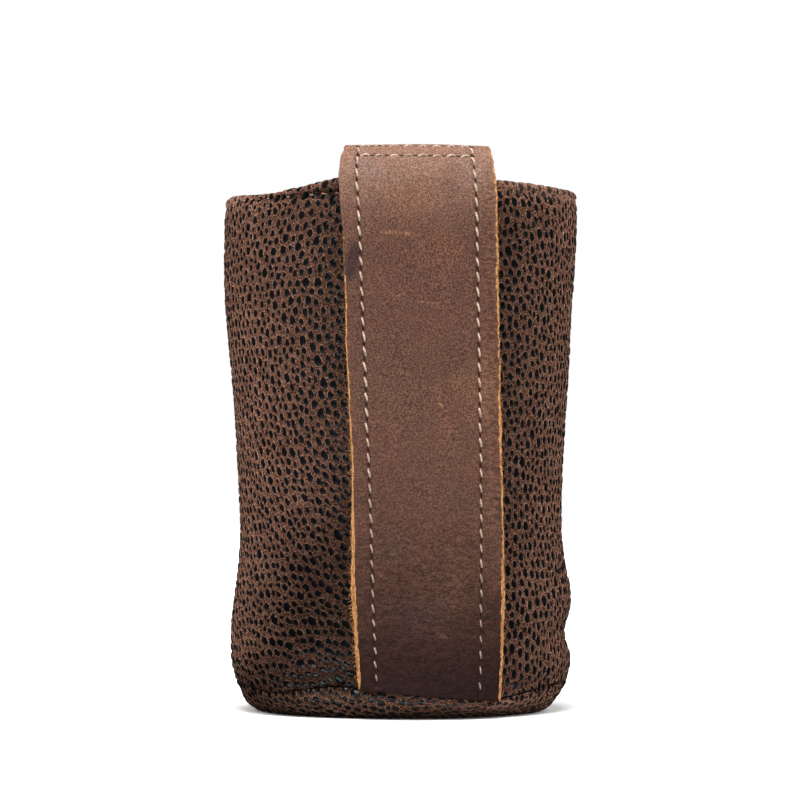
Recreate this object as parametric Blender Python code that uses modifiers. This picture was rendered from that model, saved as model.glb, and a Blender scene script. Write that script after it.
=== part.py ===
"""A leather can cooler sleeve with a broad hand strap down its front.

The sleeve is a soft leather cup: a wall whose upper edge is turned in over a foam
liner and topstitched, and a base sewn on inside out, so that only a crease shows.
The strap is two layers of smooth leather. Its face is sewn inside the rim, arches
over it, stands off the wall for the fingers and ends in the base seam.

The sleeve's axis is Z, it stands on Z = 0, and the strap faces -Y. Metres throughout.
"""
import math

import bmesh
import bpy
import numpy as np

# The round well that the sleeve is cut round, a standard size.
WELL_RADIUS = 0.0331
WELL_CLEARANCE = 0.0003

# Materials by thickness, and the gap kept between pieces that touch.
LEATHER = 0.0016
LINER = 0.0022
STRAP_LAYER = 0.0014
THREAD = 0.0006
LAYER_GAP = 0.0003

# The wall, from the base seam to the rim.
SLEEVE_HEIGHT = 0.1220
WAIST_HEIGHT = 0.0440
FLARE_HEIGHT = 0.1120
RIM_FLARE = 0.0038
HIP_HEIGHT = 0.0200
HIP_BULGE = 0.0022
HEM_DEPTH = 0.0110
RIM_TILT = 0.0009
RIM_STITCH_DROP = 0.0036
STITCH_GROOVE = 0.0004

# The base and the seam that joins it to the wall.
SEAM_HEIGHT = 0.0070
SEAM_ALLOWANCE = 0.0034
CREASE_DEPTH = 0.0011
CREASE_REACH = 0.0026
FRONT_CREASE = 0.0003
FRONT_CREASE_SPREAD = 50
BASE_CORNER = 0.0074
PAD_THICKNESS = 0.0070

# The strap.
STRAP_WIDTH_TOP = 0.0352
STRAP_WIDTH_FOOT = 0.0322
STRAP_STANDOFF = 0.0070
STRAP_FOOT = 0.0055
STRAP_FOOT_SLANT = 0.0015
STRAP_RISE = 0.0075
STRAP_ARCH = 0.0175
STRAP_INNER_ARCH = 0.0105
STRAP_TAIL = 0.0180
STRAP_FULL_BOW = 0.0600
STRAP_BOW_POWER = 2.4
STRAP_LEAN = 0.0017
STRAP_PINCH = 0.0012
STRAP_WRAP = 0.30
LEFT_ROW_INSET = 0.0036
RIGHT_ROW_INSET = 0.0049
UPPER_ROW_ANGLE = 78
LOWER_ROW_ANGLE = 57

# Where the soft wall is out of round: height of the lump, its angle from the strap in
# degrees (the strap's left is negative), its height above the table, and its reach
# round the wall in degrees and up it in metres.
LUMPS = (
    (0.0008, -97, 0.0960, 45, 0.0260),
    (0.0007, -97, 0.0540, 45, 0.0180),
    (0.0005, -97, 0.0160, 30, 0.0080),
    (-0.0002, 83, 0.0900, 40, 0.0300),
    (0.0005, 83, 0.0280, 26, 0.0050),
    (-0.0016, 83, 0.0185, 24, 0.0042),
    (-0.0014, 83, 0.0030, 34, 0.0032),
    (0.0006, -27, 0.0850, 12, 0.0300),
    (0.0005, 150, 0.0800, 26, 0.0260),
    (-0.0004, -150, 0.0300, 22, 0.0120),
)
# The same for the base seam, which wanders up and down: drop, angle and reach.
SEAM_WANDER = (
    (0.0016, -28, 14),
    (-0.0026, 25, 20),
    (0.0006, 150, 40),
)
SEAM_WANDER_REACH = 0.0130

STEPS_ROUND = 40
STEPS_OVER_RIM = 6
STEPS_ACROSS_STRAP = 6

# Sizes that follow from those above.
WAIST_RADIUS = WELL_RADIUS + WELL_CLEARANCE + LINER + LAYER_GAP + LEATHER
RIM_RADIUS = WAIST_RADIUS + RIM_FLARE
HIP_RADIUS = WAIST_RADIUS + HIP_BULGE
FOLD_THICKNESS = 2 * LEATHER + 2 * LAYER_GAP + LINER
FOLD_HEIGHT = SLEEVE_HEIGHT - FOLD_THICKNESS / 2
RIM_INNER_RADIUS = RIM_RADIUS - FOLD_THICKNESS
WALL_START = SEAM_HEIGHT + LAYER_GAP / 2
BASE_END = SEAM_HEIGHT - LAYER_GAP / 2
STRAP_THICKNESS = 2 * STRAP_LAYER + LAYER_GAP


def smooth(t):
    """The smooth step from 0 to 1, level at both ends."""
    t = min(1.0, max(0.0, t))
    return t * t * (3 - 2 * t)


def bell(distance, reach):
    """A bell curve: 1 in the middle, falling off over the reach."""
    return math.exp(-((distance / reach) ** 2))


def angle_between(a, b):
    """The turn from angle b to angle a, in degrees, the short way round."""
    return (a - b + 180) % 360 - 180


def wall_radius(z):
    """The round wall's outer radius: a waist, a flare above it and a hip below it."""
    flare = RIM_FLARE * smooth((z - WAIST_HEIGHT) / (FLARE_HEIGHT - WAIST_HEIGHT))
    hip = HIP_BULGE * smooth((WAIST_HEIGHT - z) / (WAIST_HEIGHT - HIP_HEIGHT))
    crease = CREASE_DEPTH * bell(z - SEAM_HEIGHT, CREASE_REACH)
    return WAIST_RADIUS + flare + hip - crease


def out_of_round(degrees, z):
    """How far the soft wall stands out from its round form."""
    lumps = sum(
        rise * bell(angle_between(degrees, at), wide) * bell(z - height, tall)
        for rise, at, height, wide, tall in LUMPS
    )
    front = bell(angle_between(degrees, 0), FRONT_CREASE_SPREAD)
    return lumps - FRONT_CREASE * front * bell(z - SEAM_HEIGHT, CREASE_REACH)


def seam_wander(degrees, z):
    """How far the leather round the base seam is pulled up or down."""
    pull = sum(rise * bell(angle_between(degrees, at), wide) for rise, at, wide in SEAM_WANDER)
    return pull * bell(max(0.0, z - SEAM_HEIGHT), SEAM_WANDER_REACH) * smooth(z / SEAM_HEIGHT)


def slumped(x, y, z):
    """Where a point of the round sleeve lies once the sleeve has gone soft and out of round."""
    radius = math.hypot(x, y)
    if radius < WELL_RADIUS / 2:
        return x, y, z
    degrees = math.degrees(math.atan2(x, -y))
    grown = (radius + out_of_round(degrees, z)) / radius
    tilt = RIM_TILT * x / RIM_RADIUS * (z / SLEEVE_HEIGHT) ** 2
    return x * grown, y * grown, z + seam_wander(degrees, z) + tilt


def offset_path(path, distance):
    """The path moved to its left by the distance, with mitred corners."""
    p = np.array(path)
    along = np.diff(p, axis=0)
    along /= np.linalg.norm(along, axis=1)[:, None]
    left = np.stack([-along[:, 1], along[:, 0]], axis=1)
    before = np.vstack([left[:1], left])
    after = np.vstack([left, left[-1:]])
    mitre = before + after
    mitre /= (mitre * before).sum(1)[:, None]
    return p + mitre * distance


def clear_scene():
    for thing in list(bpy.data.objects):
        bpy.data.objects.remove(thing, do_unlink=True)


def new_collection(name):
    collection = bpy.data.collections.new(name)
    bpy.context.scene.collection.children.link(collection)
    return collection


def material(name, colour, roughness):
    made = bpy.data.materials.new(name)
    made.use_nodes = True
    surface = made.node_tree.nodes["Principled BSDF"]
    surface.inputs["Base Color"].default_value = (*colour, 1)
    surface.inputs["Roughness"].default_value = roughness
    surface.inputs["Metallic"].default_value = 0
    return made


def apply_modifiers(thing):
    """Swaps the object's mesh for the one that its modifiers make."""
    bpy.context.view_layer.update()
    graph = bpy.context.evaluated_depsgraph_get()
    mesh = bpy.data.meshes.new_from_object(thing.evaluated_get(graph))
    thing.modifiers.clear()
    thing.data = mesh


def finish_piece(thing, collection, finish):
    """Names the piece's material, shades it smooth and files it in the sleeve's collection."""
    for holder in list(thing.users_collection):
        holder.objects.unlink(thing)
    collection.objects.link(thing)
    thing.data.materials.clear()
    thing.data.materials.append(finish)
    if thing.type == "MESH":
        thing.data.shade_smooth()
        thing.data.set_sharp_from_angle(angle=math.radians(50))


def turned(name, profile, closed):
    """A profile in the XZ plane spun about Z: outer side first and running down."""
    mesh = bpy.data.meshes.new(name)
    count = len(profile)
    edges = [(i, i + 1) for i in range(count - 1)]
    if closed:
        edges.append((count - 1, 0))
    mesh.from_pydata([(r, 0, z) for r, z in profile], edges, [])
    thing = bpy.data.objects.new(name, mesh)
    bpy.context.scene.collection.objects.link(thing)
    screw = thing.modifiers.new("Spin", "SCREW")
    screw.steps = STEPS_ROUND
    screw.render_steps = STEPS_ROUND
    screw.use_merge_vertices = True
    screw.merge_threshold = 0.00001
    apply_modifiers(thing)
    return thing


def slump(thing):
    """Pushes a turned piece out of round, as the whole sleeve is."""
    for vertex in thing.data.vertices:
        vertex.co = slumped(*vertex.co)
    thing.data.update()


def wall_path(groove):
    """The grain side of the wall in section: seam allowance, outer side, rim and hem."""
    crease_radius = wall_radius(WALL_START)
    path = [
        (crease_radius - SEAM_ALLOWANCE, WALL_START),
        (crease_radius, WALL_START),
    ]
    stitch_height = SLEEVE_HEIGHT - RIM_STITCH_DROP
    hip = np.linspace(WALL_START, HIP_HEIGHT, 5)[1:]
    waist = np.linspace(HIP_HEIGHT, WAIST_HEIGHT, 6)[1:]
    flare = np.linspace(WAIST_HEIGHT, stitch_height - 2 * THREAD, 8)[1:]
    path += [(wall_radius(z), z) for z in [*hip, *waist, *flare]]
    path.append((wall_radius(stitch_height) - groove, stitch_height))
    half = FOLD_THICKNESS / 2
    for turn in np.linspace(0, math.pi, STEPS_OVER_RIM + 1)[1:]:
        path.append((RIM_RADIUS - half + half * math.cos(turn), FOLD_HEIGHT + half * math.sin(turn)))
    for drop in ((HEM_DEPTH - half) / 2, HEM_DEPTH - half):
        path.append((RIM_INNER_RADIUS, FOLD_HEIGHT - drop))
    return path


def wall_leather():
    """The pebbled wall: one turned section whose thickness lies on the flesh side."""
    grain = wall_path(STITCH_GROOVE)
    flesh = [tuple(p) for p in offset_path(wall_path(0), LEATHER)]
    thing = turned("wall_leather", flesh + grain[::-1], True)
    slump(thing)
    return thing


def base_leather():
    """The pebbled base: a disc drawn up to the seam, with its edge turned in."""
    flat = HIP_RADIUS - BASE_CORNER - CREASE_DEPTH
    corner = wall_radius(BASE_END) - flat
    grain = [(0, 0), (flat / 2, 0)]
    for turn in np.linspace(0, math.pi / 2, 7):
        grain.append((flat + corner * math.sin(turn), BASE_END * (1 - math.cos(turn))))
    grain.append((flat + corner - SEAM_ALLOWANCE, BASE_END))
    flesh = [tuple(p) for p in offset_path(grain, LEATHER)]
    thing = turned("base_leather", flesh + grain[::-1], False)
    slump(thing)
    return thing


def wall_liner():
    """The foam liner: it stands on the seam allowance and fills the fold at the rim."""
    grain = wall_path(0)
    rim = max(range(len(grain)), key=lambda i: grain[i][1])
    fold_end = rim + STEPS_OVER_RIM // 2 + 1
    stitch_row = rim - STEPS_OVER_RIM // 2
    outer = [tuple(p) for p in offset_path(grain, LEATHER + LAYER_GAP)]
    inner = [tuple(p) for p in offset_path(grain, LEATHER + LAYER_GAP + LINER)]
    foot = (inner[1][0], outer[1][1])
    section = outer[1:fold_end][::-1] + [foot] + inner[2:stitch_row + 1]
    thing = turned("wall_liner", section, True)
    slump(thing)
    return thing


def base_pad():
    """The foam pad at the bottom of the well, cut to the base's rounded corner."""
    low = LEATHER + LAYER_GAP
    top = low + PAD_THICKNESS
    side = WELL_RADIUS - WELL_CLEARANCE
    flat = HIP_RADIUS - BASE_CORNER - CREASE_DEPTH - LAYER_GAP
    soft = PAD_THICKNESS / 6
    return turned("base_pad", [
        (0, top),
        (side - soft, top),
        (side, top - soft),
        (side, low + PAD_THICKNESS / 2),
        (flat, low),
        (0, low),
    ], False)


def strap_stations():
    """The strap's grain side seen from its edge, from foot to tail.

    Each station is (distance from the axis, height, share of the wrap round the axis).
    """
    back_gap = wall_radius(STRAP_FULL_BOW) + STRAP_STANDOFF
    front = back_gap + STRAP_THICKNESS
    foot = wall_radius(SEAM_HEIGHT) + LAYER_GAP + STRAP_THICKNESS
    apex_height = SLEEVE_HEIGHT + STRAP_RISE
    arch_height = apex_height - STRAP_ARCH
    stations = []
    for z in np.linspace(STRAP_FOOT, arch_height, 24)[:-1]:
        rise = min(1.0, (z - STRAP_FOOT) / (STRAP_FULL_BOW - STRAP_FOOT))
        bow = 1 - (1 - rise) ** STRAP_BOW_POWER
        wrap = STRAP_WRAP + (1 - STRAP_WRAP) * (1 - smooth(rise))
        stations.append((foot + (front - foot) * bow, z, wrap))
    tail = RIM_INNER_RADIUS - LAYER_GAP - STRAP_LAYER
    tail_top = apex_height - STRAP_INNER_ARCH
    middle = (RIM_RADIUS + RIM_INNER_RADIUS) / 2 + STRAP_LAYER
    rows = [*np.linspace(0, LOWER_ROW_ANGLE, 6), *np.linspace(LOWER_ROW_ANGLE, UPPER_ROW_ANGLE, 3)[1:]]
    for turn in [*rows, 90]:
        t = math.radians(turn)
        wrap = STRAP_WRAP + (1 - STRAP_WRAP) * smooth(turn / 180)
        stations.append((
            middle + (front - middle) * math.cos(t),
            arch_height + STRAP_ARCH * math.sin(t),
            wrap,
        ))
    for turn in np.linspace(90, 180, 8)[1:]:
        t = math.radians(turn)
        wrap = STRAP_WRAP + (1 - STRAP_WRAP) * smooth(turn / 180)
        stations.append((
            middle + (middle - tail) * math.cos(t),
            tail_top + STRAP_INNER_ARCH * math.sin(t),
            wrap,
        ))
    for z in np.linspace(tail_top, SLEEVE_HEIGHT - STRAP_TAIL, 4)[1:]:
        stations.append((tail, z, 1.0))
    return stations


def apex_index(stations):
    """Which station is the top of the strap's arch."""
    return max(range(len(stations)), key=lambda i: stations[i][1])


def strap_lean(z):
    """The strap's middle, which leans from the right at its foot to the left at its top."""
    return STRAP_LEAN * (1 - 2 * z / SLEEVE_HEIGHT)


def strap_half_width(z):
    """Half the strap's width: it narrows to its foot, and a little where it turns over."""
    share = z / SLEEVE_HEIGHT
    width = STRAP_WIDTH_FOOT + (STRAP_WIDTH_TOP - STRAP_WIDTH_FOOT) * share
    apex_height = SLEEVE_HEIGHT + STRAP_RISE
    return width / 2 - STRAP_PINCH * bell(z - apex_height, STRAP_ARCH / 4)


def strap_point(station, depth_normal, depth, x):
    """A point of the strap: x across it, depth below its grain side at that station."""
    distance, height, wrap = station
    distance -= depth * depth_normal[0]
    z = height - depth * depth_normal[1]
    fall = distance - math.sqrt(max(0.0, distance * distance - x * x))
    y = -(distance - wrap * fall)
    slant = STRAP_FOOT_SLANT * bell(height - STRAP_FOOT, STRAP_WIDTH_FOOT / 3)
    return x, y, z - slant * 2 * x / STRAP_WIDTH_FOOT


def strap_normals(stations):
    """The grain side's outward direction at each station, in the strap's edge view."""
    path = np.array([(d, z) for d, z, _ in stations])
    along = np.gradient(path, axis=0)
    along /= np.linalg.norm(along, axis=1)[:, None]
    return [(float(a[1]), float(-a[0])) for a in along]


def strap_layer(name, stations, depth):
    """One layer of the strap: a grid bent along its stations, given its thickness."""
    normals = strap_normals(stations)
    mesh = bpy.data.meshes.new(name)
    shape = bmesh.new()
    bmesh.ops.create_grid(shape, x_segments=STEPS_ACROSS_STRAP, y_segments=len(stations) - 1, size=1)
    for vertex in shape.verts:
        row = round((vertex.co.y + 1) / 2 * (len(stations) - 1))
        height = stations[row][1]
        x = strap_lean(height) + vertex.co.x * strap_half_width(height)
        vertex.co = strap_point(stations[row], normals[row], depth, x)
    bmesh.ops.recalc_face_normals(shape, faces=shape.faces)
    shape.faces.ensure_lookup_table()
    foot_face = min(shape.faces, key=lambda face: face.calc_center_median().z)
    if foot_face.normal.y > 0:
        bmesh.ops.reverse_faces(shape, faces=shape.faces)
    shape.to_mesh(mesh)
    shape.free()
    thing = bpy.data.objects.new(name, mesh)
    bpy.context.scene.collection.objects.link(thing)
    solidify = thing.modifiers.new("Thickness", "SOLIDIFY")
    solidify.thickness = STRAP_LAYER
    solidify.offset = -1
    solidify.use_even_offset = True
    return thing


def strap_face():
    """The outer layer, from the base seam over the rim to its tail inside."""
    return strap_layer("strap_face", strap_stations(), 0)


def strap_backing():
    """The inner layer, which ends at the top of the arch, under the upper stitch row."""
    stations = strap_stations()
    climb = stations[:apex_index(stations) + 1]
    return strap_layer("strap_backing", climb, STRAP_LAYER + LAYER_GAP)


def thread_along(name, points, closed=False):
    """A sewing thread: a thin round line through the points."""
    curve = bpy.data.curves.new(name, "CURVE")
    curve.dimensions = "3D"
    curve.bevel_depth = THREAD / 2
    curve.bevel_resolution = 1
    curve.use_fill_caps = not closed
    spline = curve.splines.new("POLY")
    spline.points.add(len(points) - 1)
    for knot, point in zip(spline.points, points):
        knot.co = (*point, 1)
    spline.use_cyclic_u = closed
    thing = bpy.data.objects.new(name, curve)
    bpy.context.scene.collection.objects.link(thing)
    return thing


def rim_thread():
    """The topstitching that holds the hem, in its groove round the rim."""
    z = SLEEVE_HEIGHT - RIM_STITCH_DROP
    radius = wall_radius(z) - STITCH_GROOVE + LAYER_GAP + THREAD / 2
    points = []
    for step in range(STEPS_ROUND):
        turn = 2 * math.pi * step / STEPS_ROUND
        points.append(slumped(radius * math.cos(turn), radius * math.sin(turn), z))
    return thread_along("rim_thread", points, closed=True)


def side_thread(name, side, inset):
    """A row of stitches up one side of the strap, to its upper cross row."""
    stations = strap_stations()
    normals = strap_normals(stations)
    points = []
    for station, normal in list(zip(stations, normals))[:apex_index(stations)]:
        x = strap_lean(station[1]) + side * (strap_half_width(station[1]) - inset)
        points.append(strap_point(station, normal, -(LAYER_GAP + THREAD / 2), x))
    return thread_along(name, points)


def cross_thread(name, turn):
    """A row of stitches across the strap's arch, between the two side rows."""
    stations = strap_stations()
    normals = strap_normals(stations)
    height = SLEEVE_HEIGHT + STRAP_RISE - STRAP_ARCH * (1 - math.sin(math.radians(turn)))
    row = min(range(apex_index(stations)), key=lambda i: abs(stations[i][1] - height))
    half = strap_half_width(height)
    clear = 2 * THREAD
    left = strap_lean(height) - half + LEFT_ROW_INSET + clear
    right = strap_lean(height) + half - RIGHT_ROW_INSET - clear
    return thread_along(name, [
        strap_point(stations[row], normals[row], -(LAYER_GAP + THREAD / 2), x)
        for x in np.linspace(left, right, 9)
    ])


def build():
    clear_scene()
    sleeve = new_collection("can_cooler_sleeve")
    pebbled = material("pebbled_leather", (0.085, 0.050, 0.038), 0.6)
    smooth_leather = material("strap_leather", (0.165, 0.080, 0.054), 0.55)
    foam = material("liner_foam", (0.020, 0.020, 0.022), 0.9)
    thread = material("sewing_thread", (0.420, 0.330, 0.260), 0.7)
    for piece, finish in (
        (wall_leather(), pebbled),
        (base_leather(), pebbled),
        (wall_liner(), foam),
        (base_pad(), foam),
        (strap_face(), smooth_leather),
        (strap_backing(), smooth_leather),
        (rim_thread(), thread),
        (side_thread("strap_thread_left", -1, LEFT_ROW_INSET), thread),
        (side_thread("strap_thread_right", 1, RIGHT_ROW_INSET), thread),
        (cross_thread("strap_thread_upper", UPPER_ROW_ANGLE), thread),
        (cross_thread("strap_thread_lower", LOWER_ROW_ANGLE), thread),
    ):
        finish_piece(piece, sleeve, finish)


build()
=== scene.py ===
# %% [markdown]
# A leather sleeve that keeps a cold drink cold, with a broad hand strap down its front.
# The plain solid model gives every size and place; this lesson dresses it.
# The wall and base are pebbled leather, the strap is smooth oiled leather with raw edges,
# and everything is sewn with a beige thread. Each of them is worked out here with numpy,
# from the same few sizes as the solid model, so that each piece lands where its solid is.
# %% Load the solid model
import math
import time

import bpy
import numpy as np
from mathutils import Euler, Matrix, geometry


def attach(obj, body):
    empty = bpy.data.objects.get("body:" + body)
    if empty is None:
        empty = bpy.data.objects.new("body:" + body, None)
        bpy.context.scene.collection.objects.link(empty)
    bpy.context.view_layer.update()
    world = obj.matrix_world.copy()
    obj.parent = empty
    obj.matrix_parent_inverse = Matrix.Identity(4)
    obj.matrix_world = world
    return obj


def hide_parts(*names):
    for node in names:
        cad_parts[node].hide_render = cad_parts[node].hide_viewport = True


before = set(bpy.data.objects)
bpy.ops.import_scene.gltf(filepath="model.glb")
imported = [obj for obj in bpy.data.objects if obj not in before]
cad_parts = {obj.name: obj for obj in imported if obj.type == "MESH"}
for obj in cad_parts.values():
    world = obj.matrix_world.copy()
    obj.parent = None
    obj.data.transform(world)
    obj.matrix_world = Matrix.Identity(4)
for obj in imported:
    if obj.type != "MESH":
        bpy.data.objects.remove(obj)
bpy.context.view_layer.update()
STARTED = time.time()
MM = 0.001
print("nodes:", sorted(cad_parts))

# %% [markdown]
# The sleeve is round in plan but soft, so its form is a turned one pushed out of round.
# The turned form is a waist with a flare above it and a hip below it, each a smooth step.
# On top come a few soft lumps and dents, each a bell curve round the wall and up it, and the
# base seam wanders up and down. Formulas keep the form smooth at any fineness of mesh.
# %% The sizes of the solid model
LEATHER = 1.6 * MM
LINER = 2.2 * MM
STRAP_LAYER = 1.4 * MM
LAYER_GAP = 0.3 * MM
WELL_RADIUS = 33.1 * MM
WELL_CLEARANCE = 0.3 * MM

SLEEVE_HEIGHT = 122.0 * MM
WAIST_HEIGHT = 44.0 * MM
FLARE_HEIGHT = 112.0 * MM
RIM_FLARE = 3.8 * MM
HIP_HEIGHT = 20.0 * MM
HIP_BULGE = 2.2 * MM
HEM_DEPTH = 11.0 * MM
RIM_TILT = 0.9 * MM
RIM_STITCH_DROP = 3.6 * MM

SEAM_HEIGHT = 7.0 * MM
CREASE_DEPTH = 1.1 * MM
CREASE_REACH = 2.6 * MM
FRONT_CREASE = 0.3 * MM
FRONT_CREASE_SPREAD = 50
BASE_CORNER = 7.4 * MM
PAD_THICKNESS = 7.0 * MM

# Each lump, in millimetres: rise, angle from the strap in degrees, height, reach round in
# degrees and reach up.
LUMPS = (
    (0.8, -97, 96.0, 45, 26.0),
    (0.7, -97, 54.0, 45, 18.0),
    (0.5, -97, 16.0, 30, 8.0),
    (-0.2, 83, 90.0, 40, 30.0),
    (0.5, 83, 28.0, 26, 5.0),
    (-1.6, 83, 18.5, 24, 4.2),
    (-1.4, 83, 3.0, 34, 3.2),
    (0.6, -27, 85.0, 12, 30.0),
    (0.5, 150, 80.0, 26, 26.0),
    (-0.4, -150, 30.0, 22, 12.0),
    (0.7, -70, 6.6, 22, 2.4),
    (0.8, 8, 4.2, 46, 2.6),
    (-0.5, 83, 95.0, 34, 13.0),
    (-0.9, -88, 4.6, 26, 2.6),
)
# How far the base seam and the rim rise: millimetres, angle and reach round in degrees.
SEAM_WANDER = ((1.6, -28, 14), (-1.7, -56, 16), (-1.3, -26, 14), (-2.6, 25, 20), (0.6, 150, 40))
SEAM_WANDER_REACH = 13.0 * MM
RIM_WANDER = ((1.9, -14, 20), (-1.45, -58, 22), (-0.8, 58, 26))
RIM_WANDER_REACH = 32.0 * MM

WAIST_RADIUS = WELL_RADIUS + WELL_CLEARANCE + LINER + LAYER_GAP + LEATHER
RIM_RADIUS = WAIST_RADIUS + RIM_FLARE
HIP_RADIUS = WAIST_RADIUS + HIP_BULGE
FOLD_THICKNESS = 2 * LEATHER + 2 * LAYER_GAP + LINER
FOLD_HEIGHT = SLEEVE_HEIGHT - FOLD_THICKNESS / 2
RIM_INNER_RADIUS = RIM_RADIUS - FOLD_THICKNESS
WALL_START = SEAM_HEIGHT + LAYER_GAP / 2
BASE_END = SEAM_HEIGHT - LAYER_GAP / 2
print(f"rim radius {RIM_RADIUS / MM:.1f} mm, waist radius {WAIST_RADIUS / MM:.1f} mm")


# %% The soft form
def smooth(t):
    """The smooth step: 3t^2 - 2t^3 between 0 and 1, level outside."""
    t = np.clip(t, 0, 1)
    return t * t * (3 - 2 * t)


def bell(distance, reach):
    """The bell curve exp(-(distance / reach)^2)."""
    return np.exp(-((distance / reach) ** 2))


def fade(value, start, span):
    """1 up to the start, and a smooth step down to 0 over the span."""
    return 1 - smooth((value - start) / span)


def turn_from(degrees, at):
    """The turn from one angle to another, the short way round, in degrees."""
    return (degrees - at + 180) % 360 - 180


def around(degrees, at, reach):
    """The bell curve round the sleeve: 1 at an angle, falling off over the reach in degrees."""
    return bell(turn_from(degrees, at), reach)


def wall_radius(z):
    """Waist radius, plus a smooth step to the rim and one to the hip, less the crease's bell."""
    flare = RIM_FLARE * smooth((z - WAIST_HEIGHT) / (FLARE_HEIGHT - WAIST_HEIGHT))
    hip = HIP_BULGE * smooth((WAIST_HEIGHT - z) / (WAIST_HEIGHT - HIP_HEIGHT))
    return WAIST_RADIUS + flare + hip - CREASE_DEPTH * bell(z - SEAM_HEIGHT, CREASE_REACH)


def out_of_round(degrees, z):
    """The sum of the lumps, each its rise times a bell round the wall and a bell up it."""
    in_front = around(degrees, 0, FRONT_CREASE_SPREAD)
    total = -FRONT_CREASE * in_front * bell(z - SEAM_HEIGHT, CREASE_REACH)
    for rise, at, height, wide, tall in LUMPS:
        total = total + rise * MM * around(degrees, at, wide) * bell(z - height * MM, tall * MM)
    return total


def wander(degrees, rises):
    """The sum of the rises round the sleeve, each with a bell."""
    return sum(rise * MM * around(degrees, at, wide) for rise, at, wide in rises)


def seam_wander(degrees, z):
    """The seam's pull up or down round the sleeve, dying away above and below the seam."""
    above = bell(np.maximum(0, z - SEAM_HEIGHT), SEAM_WANDER_REACH)
    return wander(degrees, SEAM_WANDER) * above * smooth(z / SEAM_HEIGHT)


def rim_wander(degrees, z):
    """The rim's rise or fall round the sleeve, dying away below it."""
    return wander(degrees, RIM_WANDER) * smooth(1 - (SLEEVE_HEIGHT - z) / RIM_WANDER_REACH)


def on_sleeve(radius, degrees, z):
    """A point of the turned form as x, y, z once soft: radius plus lumps, height plus pull."""
    turn = np.radians(degrees)
    outer = smooth(radius / (WELL_RADIUS / 2) - 1)
    grown = radius + outer * out_of_round(degrees, z)
    x = grown * np.sin(turn)
    tilt = RIM_TILT * x / RIM_RADIUS * (z / SLEEVE_HEIGHT) ** 2
    rise = outer * (seam_wander(degrees, z) + rim_wander(degrees, z)) + tilt
    return np.stack([x, -grown * np.cos(turn), z + rise], axis=-1)


# %% [markdown]
# A material here is a chain of nodes. Writing each node and link by hand would bury the recipe,
# so one small class wraps a socket: an expression such as 1 - mask * 0.5 adds its Math nodes.
# Every other node comes from one method that takes its type, settings and inputs.
# %% Shader sums in plain Python
def sign(operation, swapped=False):
    """What a sign does to a term: it adds a Math node for the term and another term or number."""

    def method(term, other):
        pair = (other, term) if swapped else (term, other)
        return term.net.add("ShaderNodeMath", {"operation": operation}, dict(enumerate(pair)))

    return method


class Term:
    """A number that shader nodes work out. The usual signs add Math nodes."""

    __add__ = __radd__ = sign("ADD")
    __sub__ = sign("SUBTRACT")
    __rsub__ = sign("SUBTRACT", swapped=True)
    __mul__ = __rmul__ = sign("MULTIPLY")

    def __init__(self, net, socket):
        self.net = net
        self.socket = socket

    def math(self, operation):
        """The term put through a Math node that takes one number."""
        return self.net.add("ShaderNodeMath", {"operation": operation}, {0: self})

    def step(self, low, high):
        """0 below low, 1 above high and a smooth step between them."""
        values = {"Value": self, "From Min": low, "From Max": high}
        return self.net.add("ShaderNodeMapRange", {"interpolation_type": "SMOOTHSTEP"}, values)

    def hump(self, middle, reach):
        """1 at the middle, falling to 0 at the reach on either side."""
        return 1 - (self - middle).math("ABSOLUTE").step(0, reach)


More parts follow.
